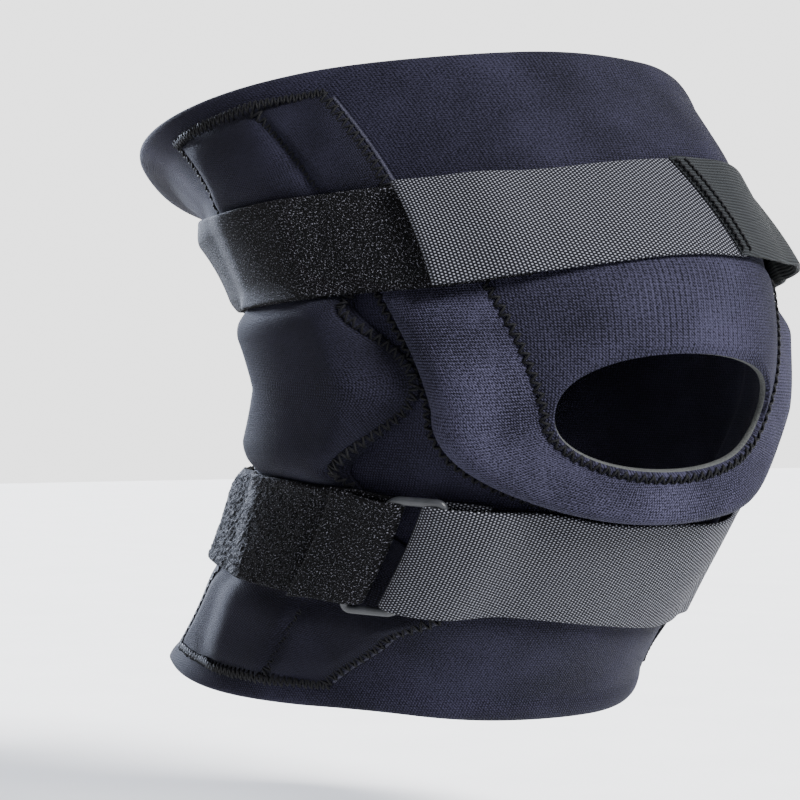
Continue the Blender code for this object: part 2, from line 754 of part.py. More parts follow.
def webbing_slant(low, high, inside, outside):
    """The ribbed webbing, whose first end follows the slanted stitching."""
    gap = STRAP_JOIN_GAP

    def place(u, v):
        start = THIGH_STITCH_LOW + (THIGH_STITCH_HIGH - THIGH_STITCH_LOW) * v + gap
        angle = start + (THIGH_RING_ANGLE - 3.5 - start) * u
        bottom, top = low(angle), high(angle)
        return angle, bottom + (top - bottom) * v

    sheet("thigh_strap_webbing", place, 8, 3, inside, outside, "ribbed_webbing")


def build_calf_strap():
    """Loop band round the back, ring on the outer side, elastic over the shin, hook tab inside."""
    low, high = calf_strap_low, calf_strap_high
    ring_rise = STRAP + LAYER_GAP + RING_BAR + LAYER_GAP + RING_PROUD

    def on_sleeve(angle, height):
        return over_pocket(angle, height)

    def on_sleeve_top(angle, height):
        return over_pocket(angle, height) + STRAP

    def front_inside(angle, height):
        at_ring = 1.0 - smooth(angle, CALF_RING_ANGLE + 8.0, CALF_RING_ANGLE + 27.0)
        on_loop = smooth(angle, 46.0, 58.0)
        stand_off = 5.0 * smooth(angle, 0.0, 22.0) * (1.0 - smooth(angle, 34.0, 58.0))
        rise = at_ring * ring_rise + on_loop * (STRAP + LAYER_GAP) + stand_off
        return over_pocket(angle, height) + rise

    def front_outside(angle, height):
        return front_inside(angle, height) + STRAP

    def fold_inside(angle, height):
        free_end = 1.0 - smooth(angle, CALF_RING_ANGLE - 27.0, CALF_RING_ANGLE - 13.0)
        return over_pocket(angle, height) + ring_rise - FOLD_DROP * free_end

    def fold_outside(angle, height):
        return fold_inside(angle, height) + STRAP

    band("calf_strap_loop_band", 58.0, 360.0 + CALF_RING_ANGLE + 5.0, low, high,
         on_sleeve, on_sleeve_top, "loop_pile")
    band("calf_strap_fold", CALF_RING_ANGLE - 31.0, CALF_RING_ANGLE - 3.5, low, high,
         fold_inside, fold_outside, "loop_pile")
    band("calf_strap_elastic", CALF_RING_ANGLE + 3.5, CALF_TAB_ROOT - STRAP_JOIN_GAP / 2, low, high,
         front_inside, front_outside, "elastic_webbing")
    band("calf_strap_tab", CALF_TAB_ROOT + STRAP_JOIN_GAP / 2, CALF_TAB_FREE, low, high,
         front_inside, front_outside, "elastic_webbing")


def build_rings():
    for name, angle, length, low, high in (
            ("thigh_ring", THIGH_RING_ANGLE, THIGH_RING_LENGTH, thigh_strap_low, thigh_strap_high),
            ("calf_ring", CALF_RING_ANGLE, CALF_RING_LENGTH, calf_strap_low, calf_strap_high)):
        height = 0.5 * (low(angle) + high(angle))
        offset = over_pocket(angle, height) + STRAP + LAYER_GAP + RING_BAR / 2
        build_ring(name, angle, height, offset, length)


for old in list(bpy.data.objects):
    bpy.data.objects.remove(old, do_unlink=True)

PARTS = collection("knee_brace")
CUTTERS = collection("cutters")
CUTTERS.hide_render = True

build_sleeve_tube("thigh", THIGH_SEAM, TOP_EDGE - HEM_WIDTH - GAP)
build_sleeve_tube("calf", BOTTOM_EDGE + HEM_WIDTH + GAP, CALF_SEAM)
build_hem("thigh_hem", TOP_EDGE, -1.0)
build_hem("calf_hem", BOTTOM_EDGE, 1.0)
build_front_panel()
build_buttress()
build_knee_sides()
for hinge_side, hinge_name in ((-1.0, "lateral"), (1.0, "medial")):
    build_pockets(hinge_side, hinge_name)
    build_hinge(hinge_side, hinge_name)
build_thigh_strap()
build_calf_strap()
build_rings()
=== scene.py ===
"""Looks of the hinged knee brace.

The soft layers follow the skin of the bent leg, as in the CAD model: a place on it is an
angle round the leg from the front (degrees, positive towards +X), a height along the leg
from the hinge axis (millimetres) and an offset outwards from the skin (millimetres).
"""

import math

import bpy
import numpy as np
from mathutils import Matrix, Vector


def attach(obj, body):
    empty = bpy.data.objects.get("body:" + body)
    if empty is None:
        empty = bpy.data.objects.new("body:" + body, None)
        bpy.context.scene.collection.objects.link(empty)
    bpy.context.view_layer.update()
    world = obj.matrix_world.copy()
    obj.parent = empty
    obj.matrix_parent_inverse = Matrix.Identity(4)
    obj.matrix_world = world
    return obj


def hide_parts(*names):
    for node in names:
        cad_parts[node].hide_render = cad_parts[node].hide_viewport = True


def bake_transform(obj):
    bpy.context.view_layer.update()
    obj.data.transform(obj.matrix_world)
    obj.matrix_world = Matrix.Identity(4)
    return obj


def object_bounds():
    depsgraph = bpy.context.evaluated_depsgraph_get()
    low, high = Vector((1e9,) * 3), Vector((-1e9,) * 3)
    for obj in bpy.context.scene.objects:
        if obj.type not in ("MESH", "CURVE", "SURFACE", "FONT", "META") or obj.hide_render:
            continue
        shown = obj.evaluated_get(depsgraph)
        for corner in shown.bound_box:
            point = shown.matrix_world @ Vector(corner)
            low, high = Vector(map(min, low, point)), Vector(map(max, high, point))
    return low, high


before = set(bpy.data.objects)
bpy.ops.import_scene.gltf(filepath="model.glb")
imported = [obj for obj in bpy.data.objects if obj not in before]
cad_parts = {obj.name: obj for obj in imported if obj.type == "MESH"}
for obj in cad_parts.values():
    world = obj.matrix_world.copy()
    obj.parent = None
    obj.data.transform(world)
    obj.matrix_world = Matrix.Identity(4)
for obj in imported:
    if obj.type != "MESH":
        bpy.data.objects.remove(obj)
cad_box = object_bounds()

MM = 0.001
SEED = 11
SIDES = ((-1.0, "lateral"), (1.0, "medial"))

# The leg inside the brace: height, forward shift, tilt in degrees, half depth, half width.
STATIONS = (
    (-102, -76, -10.0, 85.0, 85.0),
    (-53, -36.5, -4.0, 91.0, 82.5),
    (-15, -11, -2.0, 97.5, 86.0),
    (18, -10, 0.5, 100.0, 89.0),
    (56, -26, 5.5, 98.5, 96.5),
    (91, -67, 14.0, 98.5, 107.0),
)
LEG_FIT_ORDER = 4
MEAN_RADIUS = 92.0

# Sleeve
NEOPRENE = 3.5
TOP_EDGE = 88.0
BOTTOM_EDGE = -101.0
HEM_WIDTH = 6.0
HEM_SWELL = 0.7
SLEEVE_STEP_ANGLE = 1.0
SLEEVE_STEP = 1.5

# Kneecap opening, knit panel and padded horseshoe
OPENING_CENTRE = -5.0
OPENING_ANGLE = 28.5
OPENING_HALF_HEIGHT = 17.0
OPENING_HEIGHT = -6.5
OPENING_SQUARENESS = 0.90
PANEL_TOP = 44.0
BUTTRESS_TOP = 39.7
BUTTRESS_INNER_ANGLE = 31.3
BUTTRESS_INNER_HALF_HEIGHT = 18.9
BUTTRESS_OUTER_ANGLE = 53.0
BUTTRESS_OUTER_HALF_HEIGHT = 29.5
BUTTRESS_INNER_FLARE = 12.2
BUTTRESS_OUTER_FLARE = 11.0
BUTTRESS_PAD = 7.4
BUTTRESS_FADE = (17.0, 31.0)
BUTTRESS_STRAIGHT = 0.28  # share of its length in each straight side
PANEL_OVERLAP = 2.0
KNIT_STRETCH = 1.2

# Hinge pockets
ARM_HALF_WIDTH_ANGLE = 7.0
UPPER_ARM_BACK_TILT = 21.0
LOWER_ARM_BACK_TILT = 28.7
POCKET_GAP = 0.3
POCKET_CLOTH = 1.5
POCKET_TOP = 83.0
POCKET_BOTTOM = -94.5
POCKET_OVER_ARM = 3.4
POCKET_OVER_HEAD = 10.2
POCKET_SLOPE = 11.0
POCKET_LIFT = 0.1
POCKET_SEAM_WIDTH = 2.2
POCKET_PUFF = 1.9
POCKET_SEAM_DEPTH = 0.7
POCKET_THIGH_FRONT = 54.5

# Straps
STRAP = 1.8
ELASTIC_STRAP = 1.6
WEBBING_STRAP = 1.7
STRAP_ROUNDING = 0.8
LAY = STRAP / 2
ON_LOOP = STRAP + 0.5
STRAP_LIFT = 0.5
STRAP_OVER_POCKET = 0.6
RING_BAR = 3.0
RING_WIDTH = 23.0
RING_CORNER = 3.6
RING_LIFT = STRAP + 0.5 + RING_BAR / 2
THIGH_RING_ANGLE = 85.0
THIGH_RING_LENGTH = 42.0
CALF_RING_ANGLE = -56.0
CALF_RING_LENGTH = 52.0
BAR_ANGLE = math.degrees((RING_WIDTH - RING_BAR) / 2 / MEAN_RADIUS)
LOOP_RADIUS = RING_BAR / 2 + 0.35 + STRAP / 2
LOOP_REACH = 6.6
RING_PINCH = 2.6
THIGH_TAB_FREE = -54.0
THIGH_TAB_ROOT = -22.0
WEBBING_START = 5.2
WEBBING_SLANT = -10.0
CALF_TAB_ROOT = 50.0
CALF_TAB_FREE = 92.0

# Fabric patterns
WALE = 1.1
COURSE = 0.95
ELASTIC_COLUMN = 1.2
ELASTIC_BAR = 1.1

# Stitches
ZIGZAG_POINTS = 8
STITCH_ROW = 40

# How far the cloth sits inside the even skin beside the inner side of the kneecap
SLACK_HEIGHTS = (-101.0, -60.0, -40.0, -5.0, 28.0, 60.0, 88.0)
SLACK = (3.0, 8.0, 10.0, 8.0, 9.6, 10.0, 9.2)

# Depths of the worn cloth's other dips, and of the creases behind the knee by their heights
CALF_HOLLOW = 6.0
KNEE_HOLLOW = 9.0
THIGH_HOLLOW = 8.0
CREASE_WIDTH = 3.6
CREASES = ((-26.0, 1.3), (-9.0, 2.2), (7.0, 2.5), (21.0, 1.4))
SWELL_BY_STRAP = 1.1
SWELL_WIDTH = 5.0

# How much further the worn hems reach along the leg
LOW_HEM_REACH = 8.5
HIGH_HEM_REACH_FRONT = 1.1
HIGH_HEM_REACH_SIDE = 5.2

HEIGHTS = np.array([station[0] for station in STATIONS], float)
LEG_FITS = [
    np.polyfit(HEIGHTS, [station[column] for station in STATIONS], LEG_FIT_ORDER)
    for column in range(1, 5)
]


# ---- surface of the leg

def smooth(value, low, high):
    t = np.clip((np.asarray(value, float) - low) / (high - low), 0.0, 1.0)
    return t * t * (3.0 - 2.0 * t)


def bell(value, middle, width):
    """1 at the middle, fading on both sides."""
    return np.exp(-(((value - middle) / width) ** 2))


def wrap(angle):
    return (np.asarray(angle, float) + 180.0) % 360.0 - 180.0


def run_along(points):
    """Distance along a path to each of its points."""
    return np.concatenate([[0.0], np.cumsum(np.linalg.norm(np.diff(points, axis=0), axis=1))])


def section(height):
    shift, tilt, depth, width = (np.polyval(fit, height) for fit in LEG_FITS)
    return shift, np.radians(tilt), depth, width


def wrinkles(angle, height):
    """How far worn cloth lies off the even skin: waves, hollows and creases behind the knee."""
    turn = wrap(angle)
    size = np.abs(turn)
    radians = np.radians(turn)
    free = 1.0 - smooth(size, 50.0, 62.0) * (1.0 - smooth(size, 112.0, 124.0))
    waves = 0.55 * np.sin(3 * radians + 0.05 * height + 1.0) * np.sin(0.06 * height + 0.5)
    waves += 0.30 * np.sin(7 * radians - 0.11 * height)
    beside_kneecap = smooth(turn, 12.0, 48.0) * (1.0 - smooth(turn, 63.0, 79.0))
    slack = np.interp(height, SLACK_HEIGHTS, SLACK) * beside_kneecap
    waves -= CALF_HOLLOW * smooth(-height, 60.0, 98.0) * bell(turn, -122.0, 30.0)
    behind = smooth(size, 118.0, 142.0)
    creases = 0.0
    for middle, depth in CREASES:
        line = middle + 3.5 * np.sin(2.2 * radians + middle)
        creases = creases - depth * bell(height, line, CREASE_WIDTH)
    knee_hollow = KNEE_HOLLOW * bell(turn, -134.0, 24.0)
    knee_hollow = knee_hollow * (1.0 - smooth(np.abs(height + 3.0), 22.0, 38.0))
    thigh_hollow = THIGH_HOLLOW * bell(turn, -124.0, 25.0) * smooth(height, 58.0, 70.0)
    thigh_hollow = thigh_hollow * (1.0 - 0.35 * smooth(height, 84.0, 96.0))
    return free * waves + behind * creases - slack - knee_hollow - thigh_hollow


def skin(angle, height):
    """Points of the leg's skin in millimetres."""
    angle, height = np.broadcast_arrays(np.asarray(angle, float), np.asarray(height, float))
    shift, tilt, depth, width = section(height)
    turn = np.radians(angle)
    reach = depth * np.cos(turn)
    forward = shift + reach * np.cos(tilt)
    return np.stack([width * np.sin(turn), -forward, height + reach * np.sin(tilt)], axis=-1)


def directions(angle, height):
    """Unit vectors round the leg, up along it and outwards."""
    step = 0.5
    around = skin(angle + step, height) - skin(angle - step, height)
    along = skin(angle, height + step) - skin(angle, height - step)
    outward = np.cross(around, along)
    return [v / np.linalg.norm(v, axis=-1, keepdims=True) for v in (around, along, outward)]


def worn_height(angle, height):
    """Both hems reach further along the leg at the sides and the back than at the front."""
    size = np.abs(wrap(angle))
    height = height - LOW_HEM_REACH * smooth(size, 35.0, 105.0) * smooth(-height, 68.0, 101.0)
    top = HIGH_HEM_REACH_FRONT + HIGH_HEM_REACH_SIDE * smooth(size, 15.0, 105.0)
    return height + top * smooth(height, 66.0, 88.0)


def place(angle, height, offset):
    """Points at an offset from the worn cloth's skin, in metres."""
    angle, height, offset = np.broadcast_arrays(
        np.asarray(angle, float), np.asarray(height, float), np.asarray(offset, float))
    height = worn_height(angle, height)
    outward = directions(angle, height)[2]
    lift = offset + wrinkles(angle, height)
    return (skin(angle, height) + outward * lift[..., None]) * MM


def arm_angle(height):
    shift, _, depth, _ = section(height)
    tilt = np.where(np.asarray(height) > 0, UPPER_ARM_BACK_TILT, LOWER_ARM_BACK_TILT)
    forward = -np.abs(height) * np.tan(np.radians(tilt))
    return np.degrees(np.arccos((forward - shift) / depth))


def pocket_rise(angle, height):
    """How far the hinge and its arms lift the pocket off the sleeve."""
    head = 1.0 - smooth(np.abs(height), 18.0, 37.0)
    away = np.abs(np.abs(wrap(angle)) - arm_angle(height))
    flat = ARM_HALF_WIDTH_ANGLE + 5.0 * head
    rise = POCKET_OVER_ARM + (POCKET_OVER_HEAD - POCKET_OVER_ARM) * head
    return rise * (1.0 - smooth(away, flat, flat + POCKET_SLOPE))


def thigh_strap_low(angle):
    turn = wrap(angle)
    front = 29.0 + 7.5 * smooth(turn, -60.0, 5.0)
    return front + 7.5 * (1.0 - smooth(turn, -165.0, -125.0))


def thigh_strap_high(angle):
    turn = wrap(angle)
    front = 57.0 + 4.0 * smooth(turn, -45.0, 5.0)
    medial = front + 8.0 * smooth(turn, 45.0, 95.0)
    return medial + 12.0 * (1.0 - smooth(turn, -150.0, -45.0))


def calf_strap_high(angle):
    turn = wrap(angle)
    lateral = -30.0 - 8.0 * smooth(turn, -55.0, -5.0) + 4.0 * smooth(turn, 60.0, 120.0)
    return lateral - 4.0 * (1.0 - smooth(turn, -150.0, -75.0))


def calf_strap_low(angle):
    turn = wrap(angle)
    lateral = -69.5 - 4.5 * smooth(turn, -30.0, 25.0) + 4.0 * smooth(turn, 60.0, 120.0)
    return lateral - 0.5 * (1.0 - smooth(turn, -130.0, -75.0))


def strap_bite(angle, height):
    """Cloth swells a little beside each strap."""
    swell = 0.0
    for low, high in ((thigh_strap_low, thigh_strap_high), (calf_strap_low, calf_strap_high)):
        for beyond in (low(angle) - height, height - high(angle)):
            distance = np.clip(beyond, 0.0, None) / SWELL_WIDTH
            swell = swell + SWELL_BY_STRAP * distance * np.exp(1.0 - distance)
    return swell


def ring_low(angle):
    """The calf strap narrows where it passes the ring."""
    near = bell(wrap(angle), CALF_RING_ANGLE, 24.0)
    return calf_strap_low(angle) + 1.8 + RING_PINCH * near


def ring_high(angle):
    near = bell(wrap(angle), CALF_RING_ANGLE, 17.0)
    return calf_strap_high(angle) - RING_PINCH * near


def over_pocket(angle, height):
    """Lowest offset of a strap that lies on the sleeve and on the hinge pockets."""
    turn = np.abs(wrap(angle))
    on_pocket = smooth(turn, 30.0, 41.0) * (1.0 - smooth(turn, 115.0, 125.0))
    lift = POCKET_CLOTH + POCKET_GAP + STRAP_OVER_POCKET
    return NEOPRENE + STRAP_LIFT + on_pocket * lift + pocket_rise(angle, height)


def buttress_line(run, base_angle, half_height, flare):
    """A line of the horseshoe, from its lateral top (0) round the bottom to its medial top (1)."""
    straight = BUTTRESS_STRAIGHT
    side = np.where(run < 0.5, -1.0, 1.0)
    end = np.minimum(run, 1.0 - run)
    rising = BUTTRESS_TOP + (OPENING_HEIGHT - BUTTRESS_TOP) * np.clip(end / straight, 0.0, 1.0)
    turn = np.pi * np.clip((run - straight) / (1.0 - 2 * straight), 0.0, 1.0)
    spread = base_angle + flare * (rising - OPENING_HEIGHT) / (BUTTRESS_TOP - OPENING_HEIGHT)
    on_side = end < straight
    angle = np.where(on_side, side * spread, -base_angle * np.cos(turn))
    height = np.where(on_side, rising, OPENING_HEIGHT - half_height * np.sin(turn))
    return OPENING_CENTRE + angle, height


# ---- mesh helpers

def add(name, data):
    made = bpy.data.objects.new(name, data)
    bpy.context.scene.collection.objects.link(made)
    return made


def body(name, points, faces, *materials):
    """A smooth mesh object from points in metres and faces."""
    mesh = bpy.data.meshes.new(name)
    mesh.from_pydata(np.asarray(points).reshape(-1, 3).tolist(), [], faces)
    mesh.update()
    mesh.shade_smooth()
    for material in materials:
        mesh.materials.append(material)
    return add(name, mesh)


def quads(*corners):
    """Faces from four arrays of vertex numbers."""
    return np.stack(corners, axis=-1).reshape(-1, 4)


def arc_lengths(points, loop):
    """Distances along both directions of a grid, to lay the fabric's pattern out true to size."""
    closed = np.concatenate([points, points[:1]]) if loop else points
    around = run_along(closed[:, closed.shape[1] // 2])
    steps = np.linalg.norm(np.diff(closed, axis=1), axis=2)
    across = np.concatenate([np.zeros((len(closed), 1)), np.cumsum(steps, axis=1)], axis=1)
    across -= across[:, across.shape[1] // 2:across.shape[1] // 2 + 1]
    return np.stack([np.repeat(around[:, None], closed.shape[1], axis=1), across], axis=-1)


def grid_body(name, inner, outer, materials, loop=False, low_edge=0):
    """A closed layer between two grids of points; its first edge may use another material."""
    columns, rows = outer.shape[:2]
    count = columns + (1 if loop else 0)
    vertex = np.arange(columns * rows).reshape(columns, rows)
    if loop:
        vertex = np.concatenate([vertex, vertex[:1]])
    lookup = np.concatenate([vertex.ravel(), vertex.ravel() + columns * rows])
    out = np.arange(count * rows).reshape(count, rows)
    into = out + count * rows
    groups = [
        (quads(out[:-1, :-1], out[1:, :-1], out[1:, 1:], out[:-1, 1:]), 0),
        (quads(into[:-1, 1:], into[1:, 1:], into[1:, :-1], into[:-1, :-1]), 0),
        (quads(into[:-1, 0], into[1:, 0], out[1:, 0], out[:-1, 0]), low_edge),
        (quads(out[:-1, -1], out[1:, -1], into[1:, -1], into[:-1, -1]), 0),
    ]
    if not loop:
        groups.append((quads(into[0, :-1], out[0, :-1], out[0, 1:], into[0, 1:]), 0))
        groups.append((quads(out[-1, :-1], into[-1, :-1], into[-1, 1:], out[-1, 1:]), 0))
    faces = np.concatenate([group for group, _ in groups])
    slots = np.concatenate([np.full(len(group), slot) for group, slot in groups])
    made = body(name, [outer, inner], lookup[faces].tolist(), *materials)
    lengths = arc_lengths(outer, loop).reshape(-1, 2)
    spread = np.concatenate([lengths, lengths])
    layer = made.data.uv_layers.new(name="cloth")
    layer.data.foreach_set("uv", spread[faces].ravel().astype(np.float32))
    made.data.polygons.foreach_set("material_index", slots.astype(np.int32))
    made.data.update()
    return made


def edge_stops(length, step, radius):
    """Distances across a piece, closer together at both edges, which come out rounded."""
    bend = radius * (1.0 - np.cos(np.linspace(0.0, math.pi / 2, 5)))
    count = max(2, round((length - 2 * radius) / step) + 1)
    middle = np.linspace(radius, length - radius, count)
    return np.concatenate([bend[:-1], middle, length - bend[-2::-1]])


def fullness(distance, radius):
    """Share of the full thickness at a distance from a rounded edge."""
    near = np.clip(1.0 - np.asarray(distance, float) / radius, 0.0, 1.0)
    return 0.15 + 0.85 * np.sqrt(1.0 - near * near)


def slab(angle, height, inside, outside, share):
    """Both faces of a layer, thinned towards its edges."""
    middle = 0.5 * (inside + outside)
    half = 0.5 * (outside - inside) * share
    return place(angle, height, middle - half), place(angle, height, middle + half)


def apply_modifiers(obj):
    graph = bpy.context.evaluated_depsgraph_get()
    graph.update()
    mesh = bpy.data.meshes.new_from_object(obj.evaluated_get(graph), depsgraph=graph)
    obj.modifiers.clear()
    old = obj.data
    obj.data = mesh
    bpy.data.meshes.remove(old)


def subtract(target, tool):
    modifier = target.modifiers.new("cut", "BOOLEAN")
    modifier.operation = "DIFFERENCE"
    modifier.solver = "EXACT"
    modifier.object = tool
    apply_modifiers(target)
    bpy.data.objects.remove(tool, do_unlink=True)


def bend_with_knee(obj):
    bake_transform(obj)


def soft(obj, nodes):
    """A soft piece baked in place, which stands for CAD nodes and hides them."""
    bend_with_knee(obj)
    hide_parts(*nodes)


# ---- materials

class Nodes:
    """Short forms for building a material's node tree."""

    def __init__(self, name, colour, roughness, metallic=0.0):
        self.material = bpy.data.materials.new(name)
        self.material.use_nodes = True
        self.tree = self.material.node_tree
        self.shader = self.tree.nodes["Principled BSDF"]
        self.shader.inputs["Base Color"].default_value = (*colour, 1.0)
        self.shader.inputs["Roughness"].default_value = roughness
        self.shader.inputs["Metallic"].default_value = metallic
        self.material.diffuse_color = (*colour, 1.0)

    def put(self, socket, value):
        if hasattr(value, "links"):
            self.tree.links.new(value, socket)
        else:
            socket.default_value = value

    def math(self, operation, first, second=0.0, third=0.0):
        node = self.tree.nodes.new("ShaderNodeMath")
        node.operation = operation
        for socket, value in zip(node.inputs, (first, second, third)):
            self.put(socket, value)
        return node.outputs[0]

    def millimetres(self, vector):
        scale = self.tree.nodes.new("ShaderNodeVectorMath")
        scale.operation = "SCALE"
        self.tree.links.new(vector, scale.inputs[0])
        scale.inputs["Scale"].default_value = 1.0 / MM
        return scale.outputs[0]

    def cloth_uv(self):
        """The fabric's own coordinates, in millimetres: as a vector, along it and across it."""
        node = self.tree.nodes.new("ShaderNodeUVMap")
        node.uv_map = "cloth"
        vector = self.millimetres(node.outputs[0])
        split = self.tree.nodes.new("ShaderNodeSeparateXYZ")
        self.tree.links.new(vector, split.inputs[0])
        return vector, split.outputs[0], split.outputs[1]

    def space(self):
        """Object coordinates, in millimetres."""
        return self.millimetres(self.tree.nodes.new("ShaderNodeTexCoord").outputs["Object"])

    def noise(self, vector, scale, detail, roughness=0.5):
        node = self.tree.nodes.new("ShaderNodeTexNoise")
        self.put(node.inputs["Vector"], vector)
        node.inputs["Scale"].default_value = scale
        node.inputs["Detail"].default_value = detail
        node.inputs["Roughness"].default_value = roughness
        return node.outputs["Fac"]

    def wave(self, coordinate, pitch, phase=0.0):
        """A sine between 0 and 1 that repeats every pitch millimetres."""
        turned = self.math("MULTIPLY_ADD", coordinate, 2 * math.pi / pitch, phase)
        return self.math("MULTIPLY_ADD", self.math("SINE", turned), 0.5, 0.5)

    def colours(self, tone, *stops):
        """Colours by tone, from (tone, colour) stops."""
        node = self.tree.nodes.new("ShaderNodeValToRGB")
        self.put(node.inputs["Fac"], tone)
        elements = node.color_ramp.elements
        while len(elements) < len(stops):
            elements.new(0.5)
        for element, (position, colour) in zip(elements, stops):
            element.position = position
            element.color = (*colour, 1.0)
        self.put(self.shader.inputs["Base Color"], node.outputs["Color"])

    def bump(self, height, depth):
        """Relief of a depth in millimetres."""
        node = self.tree.nodes.new("ShaderNodeBump")
        node.inputs["Strength"].default_value = 1.0
        node.inputs["Distance"].default_value = depth * MM
        self.put(node.inputs["Height"], height)
        self.tree.links.new(node.outputs[0], self.shader.inputs["Normal"])

    def gloss(self, specular, sheen=0.0, sheen_roughness=0.5, tint=(1.0, 1.0, 1.0)):
        self.shader.inputs["Specular IOR Level"].default_value = specular
        self.shader.inputs["Sheen Weight"].default_value = sheen
        self.shader.inputs["Sheen Roughness"].default_value = sheen_roughness
        self.shader.inputs["Sheen Tint"].default_value = (*tint, 1.0)


def map_range(tree, value, source, target):
    """A value carried from one range to another."""
    node = tree.nodes.new("ShaderNodeMapRange")
    tree.links.new(value, node.inputs["Value"])
    for socket, limit in zip(("From Min", "From Max", "To Min", "To Max"), source + target):
        node.inputs[socket].default_value = limit
    return node.outputs[0]


def jersey(nodes, u, v):
    """Height of a fine knit: small slanted loops in columns."""
    columns = nodes.wave(u, WALE)
    slant = nodes.math("MULTIPLY_ADD", nodes.math("PINGPONG", u, WALE / 2), 0.9, v)
    loops = nodes.wave(slant, COURSE)
    return nodes.math("MULTIPLY", nodes.math("POWER", columns, 0.6), loops)


def make_neoprene(name, dark, light, rib=0.0):
    """Jersey over neoprene, faded in soft patches; rib draws lines near the piece's middle."""
    nodes = Nodes(name, dark, 0.78)
    vector, u, v = nodes.cloth_uv()
    knit = jersey(nodes, u, v)
    uneven = nodes.noise(vector, 1.25, 2.0, 0.75)
    patches = nodes.noise(nodes.space(), 0.035, 3.0, 0.55)
    height = nodes.math("MULTIPLY_ADD", uneven, 1.0, nodes.math("MULTIPLY", knit, 0.35))
    tone = nodes.math("MULTIPLY_ADD", nodes.math("SUBTRACT", patches, 0.5), 0.45, height)
    if rib:
        from_middle = nodes.math("ABSOLUTE", u)
        strength = map_range(nodes.tree, from_middle, (14.0, 40.0), (rib, 0.0))
        lines = nodes.math("MULTIPLY", nodes.wave(u, 2.1), strength)
        tone = nodes.math("ADD", tone, lines)
        height = nodes.math("ADD", height, lines)
    nodes.colours(tone, (0.46, dark), (0.90, light))
    nodes.put(nodes.shader.inputs["Roughness"], nodes.math("MULTIPLY_ADD", uneven, 0.2, 0.66))
    nodes.bump(height, 0.42)
    nodes.gloss(0.05, 0.03, 0.30, (0.66, 0.70, 1.0))
    return nodes.material


def make_pile(name):
    """Loop pile: dark curls, with pale specks painted on as highlights of lit loops."""
    nodes = Nodes(name, (0.014, 0.014, 0.017), 0.7)
    vector = nodes.cloth_uv()[0]
    curls = nodes.noise(vector, 1.35, 2.0, 0.7)
    fine = nodes.noise(vector, 2.6, 1.0, 0.5)
    tone = nodes.math("MULTIPLY_ADD", fine, 0.35, nodes.math("MULTIPLY", curls, 0.75))
    # The palest stop is painted highlight on the lit loop tips; the darker stops are the pile's own
    # near-black.
    nodes.colours(tone, (0.57, (0.0002, 0.0002, 0.0004)), (0.62, (0.0012, 0.0012, 0.002)),
                  (0.74, (0.15, 0.15, 0.18)))
    nodes.bump(tone, 1.3)
    nodes.gloss(0.05)
    return nodes.material


def make_elastic(name):
    """Woven elastic: light bars in columns across the strap, dark rubber between them."""
    nodes = Nodes(name, (0.12, 0.125, 0.14), 0.7)
    vector, u, v = nodes.cloth_uv()
    column = nodes.math("FLOOR", nodes.math("DIVIDE", u, ELASTIC_COLUMN))
    shift = nodes.math("MULTIPLY", nodes.math("MODULO", column, 2.0), ELASTIC_BAR / 2)
    bars = nodes.math("POWER", nodes.wave(nodes.math("ADD", v, shift), ELASTIC_BAR), 0.8)
    columns = nodes.math("POWER", nodes.wave(u, ELASTIC_COLUMN, -math.pi / 2), 0.55)
    grain = nodes.noise(vector, 1.7, 2.0, 0.6)
    weave = nodes.math("MULTIPLY", columns, bars)
    tone = nodes.math("MULTIPLY_ADD", grain, 0.3, nodes.math("MULTIPLY", weave, 0.95))
    nodes.colours(tone, (0.30, (0.0008, 0.0008, 0.0016)), (0.60, (0.015, 0.0155, 0.022)),
                  (0.98, (0.155, 0.159, 0.186)))
    nodes.bump(weave, 0.5)
    nodes.gloss(0.08, 0.03, 0.4, (0.9, 0.93, 1.0))
    return nodes.material


def make_webbing(name):
    """Dark narrow webbing with fine cords along its length."""
    nodes = Nodes(name, (0.045, 0.048, 0.052), 0.7)
    vector, u, v = nodes.cloth_uv()
    cords = nodes.wave(v, 1.25)
    picks = nodes.wave(nodes.math("ADD", u, nodes.math("MULTIPLY", cords, 0.4)), 0.8)
    grain = nodes.noise(vector, 1.2, 2.0, 0.6)
    weave = nodes.math("MULTIPLY_ADD", picks, 0.3, nodes.math("MULTIPLY", cords, 0.7))
    tone = nodes.math("MULTIPLY_ADD", grain, 0.3, weave)
    nodes.colours(tone, (0.2, (0.0007, 0.0008, 0.001)), (0.95, (0.0135, 0.015, 0.0172)))
    nodes.bump(weave, 0.5)
    nodes.gloss(0.08, 0.03, 0.4, (0.85, 0.95, 0.95))
    return nodes.material


def make_thread(name, dark, light):
    nodes = Nodes(name, light, 0.6)
    twist = nodes.noise(nodes.space(), 2.2, 2.0, 0.6)
    nodes.colours(twist, (0.4, dark), (0.8, light))
    nodes.bump(twist, 0.25)
    nodes.gloss(0.08, 0.01, 0.4, (0.8, 0.85, 1.0))
    return nodes.material


def make_foam(name):
    nodes = Nodes(name, (0.13, 0.14, 0.14), 0.9)
    cells = nodes.noise(nodes.space(), 1.6, 3.0, 0.7)
    nodes.colours(cells, (0.35, (0.009, 0.010, 0.010)), (0.7, (0.034, 0.037, 0.036)))
    nodes.bump(cells, 0.4)
    return nodes.material


def make_plastic(name, dark, light, roughness):
    nodes = Nodes(name, dark, roughness)
    mottle = nodes.noise(nodes.space(), 0.35, 3.0, 0.6)
    grain = nodes.noise(nodes.space(), 3.0, 2.0, 0.5)
    nodes.colours(mottle, (0.3, dark), (0.8, light))
    uneven = nodes.math("MULTIPLY_ADD", mottle, 0.2, roughness - 0.1)
    nodes.put(nodes.shader.inputs["Roughness"], uneven)
    nodes.bump(grain, 0.05)
    nodes.gloss(0.3)
    return nodes.material


